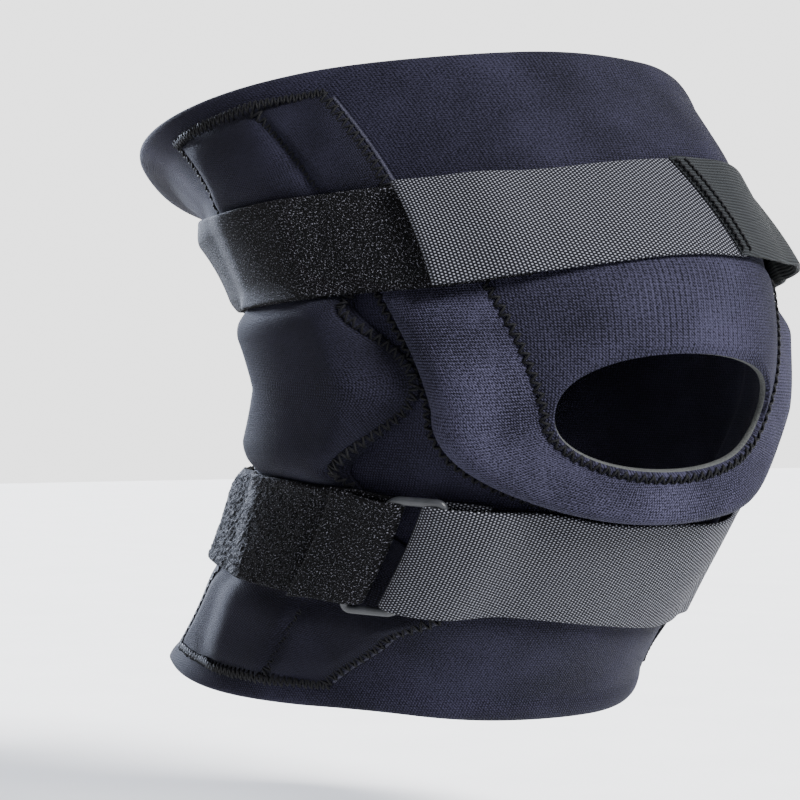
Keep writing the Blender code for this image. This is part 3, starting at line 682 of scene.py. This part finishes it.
def make_steel(name):
    nodes = Nodes(name, (0.52, 0.53, 0.54), 0.34, 1.0)
    brushed = nodes.tree.nodes.new("ShaderNodeVectorMath")
    brushed.operation = "MULTIPLY"
    nodes.put(brushed.inputs[0], nodes.space())
    brushed.inputs[1].default_value = (1.0, 4.0, 0.12)
    lines = nodes.noise(brushed.outputs[0], 2.0, 3.0, 0.6)
    nodes.colours(lines, (0.3, (0.42, 0.43, 0.44)), (0.75, (0.62, 0.63, 0.64)))
    nodes.put(nodes.shader.inputs["Roughness"], nodes.math("MULTIPLY_ADD", lines, 0.25, 0.22))
    nodes.bump(lines, 0.05)
    return nodes.material


NAVY = (0.0010, 0.0010, 0.0026)
NAVY_LIGHT = (0.0160, 0.0153, 0.0285)
NEOPRENE_CLOTH = make_neoprene("neoprene_jersey", NAVY, NAVY_LIGHT)
KNIT_CLOTH = make_neoprene("kneecap_knit", NAVY, (0.0225, 0.0217, 0.0385), rib=0.14)
# The pockets use the sleeve's jersey painted darker, as painted shade of the leg's shaded sides;
# both pockets get it.
POCKET_SHADED_FABRIC = make_neoprene("pocket_jersey_painted_shade", (0.0004, 0.0004, 0.0012), (0.0105, 0.0102, 0.0190))
BUTTRESS_CLOTH = make_neoprene("buttress_jersey", NAVY, (0.036, 0.0347, 0.060))
PILE = make_pile("loop_pile")
ELASTIC = make_elastic("woven_elastic")
WEBBING = make_webbing("corded_webbing")
THREAD = make_thread("sewing_thread", (0.0006, 0.0006, 0.0008), (0.005, 0.005, 0.007))
BINDING = make_thread("edge_binding", (0.006, 0.006, 0.010), (0.040, 0.040, 0.060))
FOAM = make_foam("cut_foam")
RING_PLASTIC = make_plastic("ring_plastic", (0.010, 0.011, 0.013), (0.020, 0.021, 0.025), 0.42)
WASHER_PLASTIC = make_plastic("washer_plastic", (0.62, 0.62, 0.60), (0.72, 0.72, 0.70), 0.5)
STEEL = make_steel("brushed_steel")


# ---- sleeve and knit panel

def panel_boundary(turn, grow=0.0):
    """Edge of the knit panel as seen from the opening's middle: round below, with a flat top."""
    reach_down = BUTTRESS_INNER_HALF_HEIGHT + PANEL_OVERLAP + grow
    side_angle = BUTTRESS_INNER_ANGLE + math.degrees((PANEL_OVERLAP + grow) / MEAN_RADIUS)
    top = PANEL_TOP + grow - OPENING_HEIGHT
    slope = BUTTRESS_INNER_FLARE / (BUTTRESS_TOP - OPENING_HEIGHT)
    cosine, sine = np.cos(turn), np.sin(turn)
    to_top = np.where(sine > 1e-6, top / np.maximum(sine * reach_down, 1e-9), 1e9)
    lean = side_angle * np.abs(cosine) - slope * reach_down * np.maximum(sine, 0.0)
    to_side = np.where(lean > 1e-6, side_angle / np.maximum(lean, 1e-9), 1e9)
    reach = np.where(sine > 0.0, np.minimum(to_top, to_side), 1.0)
    return side_angle * reach * cosine, reach_down * reach * sine


def panel_cutter():
    """A solid a little larger than the knit panel, which clears its place in the sleeve."""
    turn = np.linspace(0.0, 2 * math.pi, 240, endpoint=False)
    angle, height = panel_boundary(turn, grow=0.25)
    reach = np.linspace(0.02, 1.0, 9)
    angle = OPENING_CENTRE + angle[:, None] * reach
    height = OPENING_HEIGHT + height[:, None] * reach
    inner = place(angle, height, -9.0)
    outer = place(angle, height, 14.0)
    columns, rows = outer.shape[:2]
    number = np.arange(columns * rows).reshape(columns, rows)
    after = np.roll(number, -1, axis=0)
    below = columns * rows
    faces = np.concatenate([
        quads(number[:, :-1], number[:, 1:], after[:, 1:], after[:, :-1]),
        quads(after[:, :-1], after[:, 1:], number[:, 1:], number[:, :-1]) + below,
        quads(number[:, -1], number[:, -1] + below, after[:, -1] + below, after[:, -1]),
    ]).tolist()
    faces.append(number[::-1, 0].tolist())
    faces.append((number[:, 0] + below).tolist())
    return body("panel_cutter", [outer, inner], faces)


def build_sleeve():
    """The neoprene tube from hem to hem."""
    angles = np.arange(-180.0, 180.0, SLEEVE_STEP_ANGLE)
    stops = edge_stops(TOP_EDGE - BOTTOM_EDGE, SLEEVE_STEP, 2.1)
    angle, distance = np.meshgrid(angles, stops, indexing="ij")
    height = BOTTOM_EDGE + distance
    to_edge = np.minimum(distance, stops[-1] - distance)
    hem = HEM_SWELL * (1.0 - smooth(to_edge, HEM_WIDTH - 1.5, HEM_WIDTH))
    outside = NEOPRENE + strap_bite(angle, height) + hem
    share = fullness(to_edge, 2.1)
    inner, outer = slab(angle, height, -0.3 * hem, outside, share)
    sleeve = grid_body("sleeve", inner, outer, [NEOPRENE_CLOTH], loop=True)
    subtract(sleeve, panel_cutter())
    nodes = [f"{part}_{panel}_panel" for part in ("thigh", "calf")
             for panel in ("front", "lateral", "medial", "back")]
    nodes += ["thigh_hem", "calf_hem", "knee_lateral_panel", "knee_medial_panel", "popliteal_panel"]
    soft(sleeve, nodes)


def build_knit_panel():
    """The knit panel over the kneecap, with its oval opening and a cut foam edge."""
    turn = np.linspace(0.0, 2 * math.pi, 360, endpoint=False)
    far_angle, far_height = panel_boundary(turn)
    cosine, sine = np.cos(turn), np.sin(turn)
    near_angle = OPENING_ANGLE * np.sign(cosine) * np.abs(cosine) ** OPENING_SQUARENESS
    near_height = OPENING_HALF_HEIGHT * np.sign(sine) * np.abs(sine) ** OPENING_SQUARENESS
    reach = np.concatenate([[0.0, 0.008, 0.02, 0.04], np.linspace(0.07, 0.985, 34), [0.995, 1.0]])
    angle = OPENING_CENTRE + near_angle[:, None] + (far_angle - near_angle)[:, None] * reach
    height = OPENING_HEIGHT + near_height[:, None] + (far_height - near_height)[:, None] * reach
    rim = smooth(reach, 0.0, 0.07)
    outside = NEOPRENE - 1.5 * (1.0 - rim) + strap_bite(angle, height) * rim
    inner = place(angle, height, 0.0)
    outer = place(angle, height, outside)
    panel = grid_body("kneecap_panel", inner, outer, [KNIT_CLOTH, FOAM], loop=True, low_edge=1)
    layer = panel.data.uv_layers["cloth"].data
    flat = np.stack([(angle - OPENING_CENTRE) * math.pi / 180.0 * MEAN_RADIUS * MM,
                     height * KNIT_STRETCH * MM], axis=-1).reshape(-1, 2)
    both = np.concatenate([flat, flat])
    corners = np.empty(len(panel.data.loops), np.int32)
    panel.data.loops.foreach_get("vertex_index", corners)
    layer.foreach_set("uv", both[corners].ravel().astype(np.float32))
    soft(panel, ["knee_front_panel"])


# ---- padded horseshoe

CLOTH_FRAMES = 20


def coordinates(obj):
    values = np.empty(len(obj.data.vertices) * 3)
    obj.data.vertices.foreach_get("co", values)
    return values.reshape(-1, 3)


def inflate(obj, pinned, cap):
    """Cloth simulation under pressure, with the seams held and the movement capped."""
    rest = coordinates(obj)
    group = obj.vertex_groups.new(name="sewn")
    group.add([int(i) for i in np.flatnonzero(pinned)], 1.0, "REPLACE")
    modifier = obj.modifiers.new("cloth", "CLOTH")
    settings = modifier.settings
    settings.quality = 6
    settings.mass = 0.25
    settings.use_pressure = True
    settings.uniform_pressure_force = 4.0
    settings.effector_weights.gravity = 0.0
    settings.tension_stiffness = 25.0
    settings.compression_stiffness = 12.0
    settings.bending_stiffness = 0.6
    settings.vertex_group_mass = group.name
    modifier.collision_settings.use_collision = False
    scene = bpy.context.scene
    for step in range(1, CLOTH_FRAMES + 1):
        scene.frame_set(step)
    apply_modifiers(obj)
    shift = coordinates(obj) - rest
    size = np.linalg.norm(shift, axis=1, keepdims=True)
    shift *= np.minimum(1.0, cap * MM / np.maximum(size, 1e-9))
    obj.data.vertices.foreach_set("co", (rest + shift).ravel())
    obj.data.update()
    obj.vertex_groups.clear()
    scene.frame_set(1)


def inner_line(run, grow_angle=0.0, grow_height=0.0):
    """The horseshoe's edge beside the opening."""
    return buttress_line(run, BUTTRESS_INNER_ANGLE + grow_angle,
                         BUTTRESS_INNER_HALF_HEIGHT + grow_height, BUTTRESS_INNER_FLARE)


def outer_line(run, grow_angle=0.0, grow_height=0.0):
    return buttress_line(run, BUTTRESS_OUTER_ANGLE + grow_angle,
                         BUTTRESS_OUTER_HALF_HEIGHT + grow_height, BUTTRESS_OUTER_FLARE)


def build_buttress():
    """The padded horseshoe: full in its middle, thin under the thigh strap."""
    run, across = np.meshgrid(np.linspace(0.0, 1.0, 200), np.linspace(0.0, 1.0, 31), indexing="ij")
    near, far = inner_line(run), outer_line(run)
    angle = near[0] + (far[0] - near[0]) * across
    height = near[1] + (far[1] - near[1]) * across
    fade = 1.0 - smooth(height, *BUTTRESS_FADE)
    crown = np.sin(math.pi * across ** 1.8) ** 0.60
    folds = 0.35 * np.sin(26.0 * run + 3.0 * across) * np.sin(math.pi * across)
    swell = (BUTTRESS_PAD * crown + folds) * (0.1 + 0.9 * fade)
    base = NEOPRENE + strap_bite(angle, height)
    inner = place(angle, height, base + 0.05)
    outer = place(angle, height, base + 0.35 + swell)
    pad = grid_body("patella_buttress_pad", inner, outer, [BUTTRESS_CLOTH])
    edge = (across < 0.02) | (across > 0.98) | (height > 26.0)
    pinned = np.concatenate([edge.ravel(), np.ones(edge.size, bool)])
    inflate(pad, pinned, cap=2.0)
    soft(pad, ["patella_buttress"])


# ---- hinge pockets

def pocket_front(height):
    """Angle of the pocket's front edge: a rounded tongue at the knee, wider above and below."""
    knee = 76.0 - 15.5 * bell(height, 1.0, 19.0) - 9.0 * smooth(np.abs(height), 24, 38)
    calf = 56.0 - 8.0 * smooth(height, -94.5, -76.0) - 10.0 * smooth(height, -77.0, -68.0)
    above = smooth(height, 33.0, 52.0)
    below = 1.0 - smooth(height, -64.0, -36.0)
    return knee * (1 - above) * (1 - below) + POCKET_THIGH_FRONT * above + calf * below


def pocket_back(height):
    return 112.0 - 19.0 * smooth(height, 30.0, 80.0) - 4.0 * (1.0 - smooth(height, -80.0, -40.0))


def pocket_middle(height):
    """The sewn line between the arm's channel and the flat front flap of the pocket."""
    return 69.0 + 2.0 * (height < 0)


def under_strap(angle, height, low, high):
    """1 where a strap lies on the cloth, 0 a little beside it."""
    covered = smooth(height, low(angle) - 6, low(angle) + 2)
    return covered * (1 - smooth(height, high(angle) - 2, high(angle) + 6))


def build_pocket(side, side_name):
    """One cloth pocket over a hinge and its two arms."""
    stops = edge_stops(POCKET_TOP - POCKET_BOTTOM, 1.4, 1.2)
    across = edge_stops(1.0, 1.0 / 44, 0.02)
    fraction, distance = np.meshgrid(across, stops, indexing="ij")
    height = POCKET_BOTTOM + distance
    front, back = pocket_front(height), pocket_back(height)
    turn = front + (back - front) * fraction
    angle = side * turn
    width = (back - front) * math.pi / 180.0 * MEAN_RADIUS
    to_edge = np.minimum(np.minimum(fraction, 1.0 - fraction) * width,
                         np.minimum(distance, stops[-1] - distance))
    rise = pocket_rise(angle, height) * smooth(to_edge, 0.0, 5.0)
    away_from_knee = smooth(np.abs(height), 44.0, 54.0)
    from_seam = (turn - pocket_middle(height)) * MEAN_RADIUS * math.pi / 180.0
    sewn = np.exp(-((from_seam / POCKET_SEAM_WIDTH) ** 2)) * away_from_knee
    puff = POCKET_PUFF * smooth(to_edge, 0.5, 9.0) * (1.0 - sewn) - POCKET_SEAM_DEPTH * sewn
    base = NEOPRENE + strap_bite(angle, height)
    pressed = np.maximum(under_strap(angle, height, thigh_strap_low, thigh_strap_high),
                         under_strap(angle, height, calf_strap_low, calf_strap_high))
    puff = puff * (1.0 - pressed)
    inside = base + POCKET_LIFT + rise
    outside = inside + POCKET_CLOTH + np.maximum(puff, -0.9)
    inner, outer = slab(angle, height, inside, outside, fullness(to_edge, 1.2))
    if side < 0:
        inner, outer = inner[::-1], outer[::-1]
    pocket = grid_body(f"hinge_pocket_{side_name}", inner, outer, [POCKET_SHADED_FABRIC])
    soft(pocket,
         [f"{part}_hinge_pocket_{side_name}" for part in ("thigh", "knee", "calf")])


# ---- straps

def strap_path(points, step):
    """Even steps along a path of angles and lifts."""
    points = np.array(points, float)
    flat = np.stack([np.radians(points[:, 0]) * MEAN_RADIUS, points[:, 1]], axis=1)
    run = run_along(flat)
    count = max(2, round(run[-1] / step) + 1)
    at = np.linspace(0.0, run[-1], count)
    return np.interp(at, run, points[:, 0]), np.interp(at, run, points[:, 1])


def loop_round_bar(bar, facing):
    """Half a turn of strap round a ring's bar, from above it to below it."""
    turns = np.linspace(math.pi / 2, -math.pi / 2, 17)
    reach = math.degrees(LOOP_REACH / MEAN_RADIUS)
    return [(bar + facing * reach * math.cos(t), RING_LIFT + LOOP_RADIUS * math.sin(t))
            for t in turns]


def relax(values, times):
    """Rounds the corners of a path."""
    values = values.copy()
    for _ in range(times):
        values[1:-1] = 0.25 * values[:-2] + 0.5 * values[1:-1] + 0.25 * values[2:]
    return values


def strip(name, path, low, high, thickness, materials, step=1.6, slant=(0.0, 0.0),
          across_step=1.5, roughen=0.0, lean=0.0):
    """A strap along a path of (angle, lift), with its length and width in metres.

    slant shifts the lower and upper corners of its two ends. roughen is the height of its pile.
    lean lifts its lower edge off the leg, and lowers its upper edge, beside the kneecap.
    """
    angles, lifts = strap_path(path, step)
    lifts = relax(lifts, 3)
    middle = len(angles) // 2
    width = float(np.linalg.norm(place(angles[middle], high(angles[middle]), 5.0)
                                 - place(angles[middle], low(angles[middle]), 5.0))) / MM
    stops = edge_stops(width, across_step, STRAP_ROUNDING)
    share = stops / width
    run = np.linspace(0.0, 1.0, len(angles))
    tilt = slant[0] * (1 - run[:, None]) + slant[1] * run[:, None]
    angle = angles[:, None] + tilt * (share - 0.5)
    height = low(angle) + (high(angle) - low(angle)) * share
    leaning = lean * (0.5 - share) * smooth(angle, 12.0, 42.0) * (1.0 - smooth(angle, 66.0, 80.0))
    centre = place(angle, height, over_pocket(angle, height) + lifts[:, None] + leaning)
    forward = np.gradient(centre, axis=0)
    upward = np.gradient(centre, axis=1)
    normal = np.cross(forward, upward)
    normal /= np.linalg.norm(normal, axis=-1, keepdims=True)
    length = run_along(centre[:, len(stops) // 2]) / MM
    to_end = np.minimum(length, length[-1] - length)[:, None]
    to_side = np.minimum(stops, width - stops)[None, :]
    full = fullness(to_side, STRAP_ROUNDING) * fullness(to_end, STRAP_ROUNDING)
    half = 0.5 * thickness * MM * full[..., None]
    rough = 0.0
    if roughen:
        random = np.random.default_rng(SEED + len(name))
        rough = roughen * MM * random.uniform(-0.35, 1.0, full.shape)[..., None] * full[..., None]
    outer = centre + normal * (half + rough)
    inner = centre - normal * half
    return grid_body(name, inner, outer, materials), length[-1] * MM, width * MM


def pile_strap(name, start, ring, facing, low, high, fold_end, nodes):
    """Loop-pile strap: round the back, through the ring and folded back on itself."""
    bar = ring + facing * BAR_ANGLE
    flat = [(start, LAY), (bar + facing * 9.0, LAY)]
    under = loop_round_bar(bar, -facing)[::-1]
    fold = [(bar + facing * 4.0, RING_LIFT + LOOP_RADIUS - 0.3),
            (bar + facing * 7.5, STRAP * 1.5 + 2.6), (fold_end, STRAP * 1.5 + 2.8)]
    obj, length, width = strip(name, flat + under + fold, low, high, STRAP, [PILE], step=0.8,
                               across_step=0.8, roughen=0.55)
    soft(obj, nodes)


def elastic_strap(leg, path, low, high, root, facing, root_height, **shape):
    """Elastic strap whose hook tab lies on the pile beyond its root."""
    obj, length, width = strip(f"{leg}_elastic_strap", path, low, high, ELASTIC_STRAP, [ELASTIC],
                               **shape)
    turn = place(root - facing * 2.5, root_height, 6.0)
    free = place(root + facing * 3.5, root_height, 6.0)
    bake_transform(obj)
    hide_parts(f"{leg}_strap_elastic", f"{leg}_strap_tab")


def build_thigh_strap():
    low, high = thigh_strap_low, thigh_strap_high
    pile_strap("thigh_pile_strap", 324.0, THIGH_RING_ANGLE, 1.0, low, high, 115.0,
               ["thigh_strap_loop_band", "thigh_strap_fold"])

    tab = [(THIGH_TAB_FREE, LAY + ON_LOOP + 2.2), (-47.0, LAY + ON_LOOP + 0.6),
           (-34.0, LAY + ON_LOOP), (THIGH_TAB_ROOT, LAY + 0.4), (0.0, LAY + 0.3), (8.0, LAY + 0.4)]
    elastic_strap("thigh", tab, low, high, THIGH_TAB_ROOT, -1.0, 46.0, slant=(0.0, WEBBING_SLANT))

    bar = THIGH_RING_ANGLE - BAR_ANGLE
    path = [(WEBBING_START, LAY + WEBBING_STRAP), (8.0, LAY + WEBBING_STRAP), (12.0, LAY + 1.2),
            (20.0, LAY + 1.8), (33.0, LAY + 3.6), (48.0, LAY + 5.4), (62.0, LAY + 6.2),
            (70.0, LAY + 6.6), (bar - 5.0, RING_LIFT + LOOP_RADIUS + 0.2)]
    path += loop_round_bar(bar, 1.0)
    path += [(bar - 5.0, LAY + 0.9)]
    obj, length, width = strip("thigh_webbing_strap", path, low, high, WEBBING_STRAP, [WEBBING],
                               slant=(WEBBING_SLANT, 0.0), lean=9.0)
    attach(obj, "thigh")
    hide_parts("thigh_strap_webbing")


def build_calf_strap():
    low, high = ring_low, ring_high
    pile_strap("calf_pile_strap", 58.0 - 360.0, CALF_RING_ANGLE, -1.0, low, high,
               CALF_RING_ANGLE - 17.5, ["calf_strap_loop_band", "calf_strap_fold"])

    bar = CALF_RING_ANGLE + BAR_ANGLE
    path = [(bar + 9.0, LAY + 0.6), (bar + 2.0, RING_LIFT - LOOP_RADIUS)]
    path += loop_round_bar(bar, -1.0)[::-1]
    path += [(bar + 4.0, RING_LIFT + LOOP_RADIUS), (bar + 12.0, LAY + 3.6), (bar + 22.0, LAY + 0.9),
             (0.0, LAY + 0.4), (12.0, LAY + 1.4), (26.0, LAY + 2.6), (38.0, LAY + 2.8),
             (CALF_TAB_ROOT, LAY + ON_LOOP + 0.3), (60.0, LAY + ON_LOOP), (84.0, LAY + ON_LOOP),
             (CALF_TAB_FREE, LAY + ON_LOOP + 0.8)]
    elastic_strap("calf", path, low, high, CALF_TAB_ROOT, 1.0, -56.0)


# ---- rings

def tube(name, points, radius, material, normals, closed=False, sides=8, flatten=1.0):
    """A tube of a radius in millimetres through points in metres; flatten squashes its height."""
    points = np.asarray(points, float)
    after = np.roll(points, -1, axis=0)
    before = np.roll(points, 1, axis=0)
    tangent = after - before
    if not closed:
        tangent[0] = points[1] - points[0]
        tangent[-1] = points[-1] - points[-2]
    tangent /= np.maximum(np.linalg.norm(tangent, axis=1, keepdims=True), 1e-12)
    up = normals - tangent * np.sum(normals * tangent, axis=1, keepdims=True)
    up /= np.linalg.norm(up, axis=1, keepdims=True)
    side = np.cross(tangent, up)
    turns = np.linspace(0.0, 2 * math.pi, sides, endpoint=False)
    ring = (np.cos(turns)[None, :, None] * side[:, None] +
            flatten * np.sin(turns)[None, :, None] * up[:, None])
    verts = points[:, None] + radius * MM * ring
    count = len(points)
    number = np.arange(count * sides).reshape(count, sides)
    ahead = np.roll(number, -1, axis=0) if closed else number[1:]
    here = number if closed else number[:-1]
    faces = np.stack([here, np.roll(here, -1, axis=1), np.roll(ahead, -1, axis=1), ahead],
                     axis=-1).reshape(-1, 4).tolist()
    if not closed:
        faces.append(number[0, ::-1].tolist())
        faces.append(number[-1].tolist())
    return body(name, verts, faces, material)


def build_ring(node, angle, length, low, high, rider):
    """A rounded rectangular ring, as the CAD ring but with a round bar."""
    height = 0.5 * (low(angle) + high(angle))
    offset = over_pocket(angle, height) + RING_LIFT
    at = np.array([angle]), np.array([height])
    around, along, outward = (v.reshape(3) for v in directions(*at))
    centre = place(angle, height, offset).reshape(3)
    half_w = RING_WIDTH / 2 - RING_BAR / 2
    half_l = length / 2 - RING_BAR / 2
    points = []
    for quarter in range(4):
        sign_u = 1 if quarter in (0, 3) else -1
        sign_v = 1 if quarter in (0, 1) else -1
        for step in range(8):
            turn = math.radians(90.0 * quarter + 90.0 * step / 7)
            u = sign_u * (half_w - RING_CORNER) + RING_CORNER * math.cos(turn)
            v = sign_v * (half_l - RING_CORNER) + RING_CORNER * math.sin(turn)
            points.append(centre + (around * u + along * v) * MM)
    fine = []
    for here, there in zip(points, points[1:] + points[:1]):
        span = np.linalg.norm(there - here) / MM
        pieces = max(1, round(span / 2.0))
        fine += [here + (there - here) * k / pieces for k in range(pieces)]
    normals = np.repeat(outward[None, :], len(fine), axis=0)
    ring = tube(f"{node}_bar", fine, RING_BAR / 2, RING_PLASTIC, normals, closed=True, sides=14,
                flatten=0.92)
    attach(ring, rider)
    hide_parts(node)


# ---- stitches

def follow(angles, heights, offset, step=0.6):
    """Even points, normals and sideways directions along a line on the cloth."""
    angles, heights = np.asarray(angles, float), np.asarray(heights, float)
    points = place(angles, heights, offset(angles, heights))
    run = run_along(points) / MM
    at = np.arange(0.0, run[-1], step)
    angles = np.interp(at, run, angles)
    heights = np.interp(at, run, heights)
    points = place(angles, heights, offset(angles, heights))
    normal = directions(angles, heights)[2]
    forward = np.gradient(points, axis=0)
    forward /= np.linalg.norm(forward, axis=1, keepdims=True)
    return points, normal, np.cross(normal, forward)


def zigzag(name, angles, heights, offset, amplitude=2.3, pitch=3.4, radius=0.48, rider=None,
           jitter=0.08):
    """Zigzag stitches: the thread dips into the cloth at each turn."""
    points, normal, sideways = follow(angles, heights, offset, pitch / ZIGZAG_POINTS)
    phase = np.arange(len(points)) / ZIGZAG_POINTS
    swing = 4.0 * np.abs((phase % 1.0) - 0.5) - 1.0
    dip = 0.45 - 0.75 * smooth(np.abs(swing), 0.72, 1.0)
    random = np.random.default_rng(SEED + len(name) + len(points))
    stray = random.normal(0.0, jitter, len(points))
    points = points + (sideways * (amplitude * swing + stray)[:, None] + normal * dip[:, None]) * MM
    thread = tube(name, points, radius, THREAD, normal, sides=6)
    if rider:
        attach(thread, rider)
    else:
        bend_with_knee(thread)


def cloth_top(extra):
    """Offset of a line that lies a little above the sleeve."""
    def offset(angle, height):
        return NEOPRENE + strap_bite(angle, height) + extra
    return offset


def webbing_top(angle, height):
    return over_pocket(angle, height) + LAY + WEBBING_STRAP + WEBBING_STRAP / 2


def pocket_top_surface(angle, height):
    sleeve = NEOPRENE + strap_bite(angle, height)
    return sleeve + POCKET_LIFT + POCKET_CLOTH * 0.8 + pocket_rise(angle, height)


def build_stitches():
    """Zigzags along the pockets, the horseshoe and the joint of elastic and webbing."""
    for side, side_name in SIDES:
        upper = np.linspace(thigh_strap_high(side * 60.0) - 1.0, POCKET_TOP - 1.5, STITCH_ROW)
        lower = np.linspace(POCKET_BOTTOM + 1.5, calf_strap_low(side * 60.0) + 1.5, STITCH_ROW)
        knee = np.linspace(calf_strap_high(side * 70.0) - 2.0,
                           thigh_strap_low(side * 70.0) + 2.0, 2 * STITCH_ROW)
        for part, heights in (("thigh", upper), ("calf", lower), ("knee", knee)):
            zigzag(f"stitch_{part}_pocket_front_{side_name}", side * (pocket_front(heights) + 1.2),
                   heights, pocket_top_surface)
            zigzag(f"stitch_{part}_pocket_back_{side_name}", side * (pocket_back(heights) - 0.9),
                   heights, pocket_top_surface, amplitude=1.4)
            if part != "knee":
                zigzag(f"stitch_{part}_pocket_middle_{side_name}", side * pocket_middle(heights),
                       heights, lambda a, h: pocket_top_surface(a, h) - POCKET_SEAM_DEPTH)
        for part, height in (("top", POCKET_TOP - 1.2), ("bottom", POCKET_BOTTOM + 1.2)):
            turns = np.linspace(pocket_front(height), pocket_back(height), STITCH_ROW)
            zigzag(f"stitch_pocket_{part}_{side_name}", side * turns, np.full(STITCH_ROW, height),
                   pocket_top_surface, amplitude=1.7, pitch=2.2, radius=0.5, jitter=0.22)
    run = np.linspace(0.03, 0.97, 160)
    zigzag("stitch_buttress_inner", *inner_line(run, -0.7, -0.6), cloth_top(0.25), amplitude=1.6)
    zigzag("stitch_buttress_outer", *outer_line(run, 0.8, 0.8), cloth_top(0.25), amplitude=1.5)
    share = np.linspace(0.04, 0.96, 60)
    for row, shift in (("first", 0.9), ("second", 4.6)):
        start = WEBBING_START + shift / MEAN_RADIUS * 180 / math.pi
        angles = start + WEBBING_SLANT * (share - 0.5)
        low, high = thigh_strap_low(angles), thigh_strap_high(angles)
        heights = low + (high - low) * share
        zigzag(f"stitch_webbing_{row}", angles, heights, webbing_top, amplitude=0.5, pitch=2.2,
               radius=0.36, rider="thigh")


def build_binding():
    """A narrow rolled edge along the front of each pocket, beside its stitches."""
    for side, side_name in SIDES:
        upper = np.linspace(thigh_strap_high(side * 55.0) + 1.0, POCKET_TOP - 2.0, STITCH_ROW)
        lower = np.linspace(POCKET_BOTTOM + 2.0, calf_strap_low(side * 55.0) - 1.0, STITCH_ROW)
        for part, heights in (("thigh", upper), ("calf", lower)):
            angles = side * (pocket_front(heights) - 0.5)
            points, normal, _ = follow(angles, heights, cloth_top(0.5))
            name = f"pocket_binding_{part}_{side_name}"
            bend_with_knee(tube(name, points, 0.75, BINDING, normal))


# ---- hinge finish

def paint(obj, material):
    obj.data.materials.clear()
    obj.data.materials.append(material)


def finish_hinges():
    for _, side_name in SIDES:
        for node in ("upper_arm", "lower_arm", "pivot_rivet", "stop_pin"):
            paint(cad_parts[f"{node}_{side_name}"], STEEL)
        paint(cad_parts[f"pivot_washer_{side_name}"], WASHER_PLASTIC)


# ---- stage

# The camera stands level with its aim; the scale is in metres to a pixel of the picture
CAMERA_AZIMUTH = -35.0
CAMERA_DISTANCE = 0.947
PICTURE_WIDTH = 800
PHOTO_SCALE = 0.000355
AIM_RIGHT = -0.0476
AIM_UP = -0.0050
SENSOR = 36.0
LENS = SENSOR * CAMERA_DISTANCE / (PHOTO_SCALE * PICTURE_WIDTH)

# Depth of the floor below the brace; the straightened calf's back hem still dips under it
FLOOR_DROP = 0.052
FLOOR_REACH = 4.0

# The studio is brighter towards one side, given as a direction
BRIGHT_SIDE = (0.574, 0.819, 0.0)


def look_along(obj, start, target):
    obj.location = start
    obj.rotation_euler = (Vector(target) - Vector(start)).to_track_quat("-Z", "Y").to_euler()


def build_camera():
    turn = math.radians(CAMERA_AZIMUTH)
    right = Vector((math.cos(turn), math.sin(turn), 0.0))
    back = Vector((math.sin(turn), -math.cos(turn), 0.0))
    aim = right * AIM_RIGHT + Vector((0.0, 0.0, AIM_UP))
    data = bpy.data.cameras.new("photo_view")
    data.lens = LENS
    data.sensor_width = SENSOR
    camera = add("photo_view", data)
    look_along(camera, aim + back * CAMERA_DISTANCE, aim)
    bpy.context.scene.camera = camera


def sun_light(name, location, strength, spread, colour=(1.0, 1.0, 1.0)):
    data = bpy.data.lights.new(name, "SUN")
    data.energy = strength
    data.angle = spread
    data.color = colour
    look_along(add(name, data), location, (0.0, 0.0, 0.0))


def build_stage():
    low = cad_box[0][2] - FLOOR_DROP
    corners = [(x * FLOOR_REACH, y * FLOOR_REACH, low)
               for x, y in ((-1, -1), (1, -1), (1, 1), (-1, 1))]
    nodes = Nodes("floor", (0.86, 0.86, 0.86), 0.9)
    fleck = nodes.noise(nodes.space(), 0.02, 3.0)
    nodes.colours(fleck, (0.3, (0.84, 0.84, 0.84)), (0.8, (0.88, 0.88, 0.88)))
    body("floor", corners, [(0, 1, 2, 3)], nodes.material)
    world = bpy.data.worlds.new("studio")
    world.use_nodes = True
    tree = world.node_tree
    facing = tree.nodes.new("ShaderNodeVectorMath")
    facing.operation = "DOT_PRODUCT"
    facing.inputs[1].default_value = BRIGHT_SIDE
    tree.links.new(tree.nodes.new("ShaderNodeTexCoord").outputs["Generated"], facing.inputs[0])
    brightness = map_range(tree, facing.outputs["Value"], (0.55, 0.93), (0.75, 2.6))
    background = tree.nodes["Background"]
    background.inputs["Color"].default_value = (1.0, 1.0, 1.0, 1.0)
    tree.links.new(brightness, background.inputs["Strength"])
    bpy.context.scene.world = world
    sun_light("key", (0.35, -1.45, 1.0), 15.0, 0.40)
    sun_light("rim_left", (0.10, 1.5, 0.30), 9.0, 0.30, (0.72, 0.80, 1.0))


build_sleeve()
build_knit_panel()
build_buttress()
for hinge_side, hinge_name in SIDES:
    build_pocket(hinge_side, hinge_name)
build_thigh_strap()
build_calf_strap()
build_ring("thigh_ring", THIGH_RING_ANGLE, THIGH_RING_LENGTH, thigh_strap_low, thigh_strap_high,
           "thigh")
build_ring("calf_ring", CALF_RING_ANGLE, CALF_RING_LENGTH, calf_strap_low, calf_strap_high, "calf")
build_stitches()
build_binding()
finish_hinges()
build_camera()
build_stage()
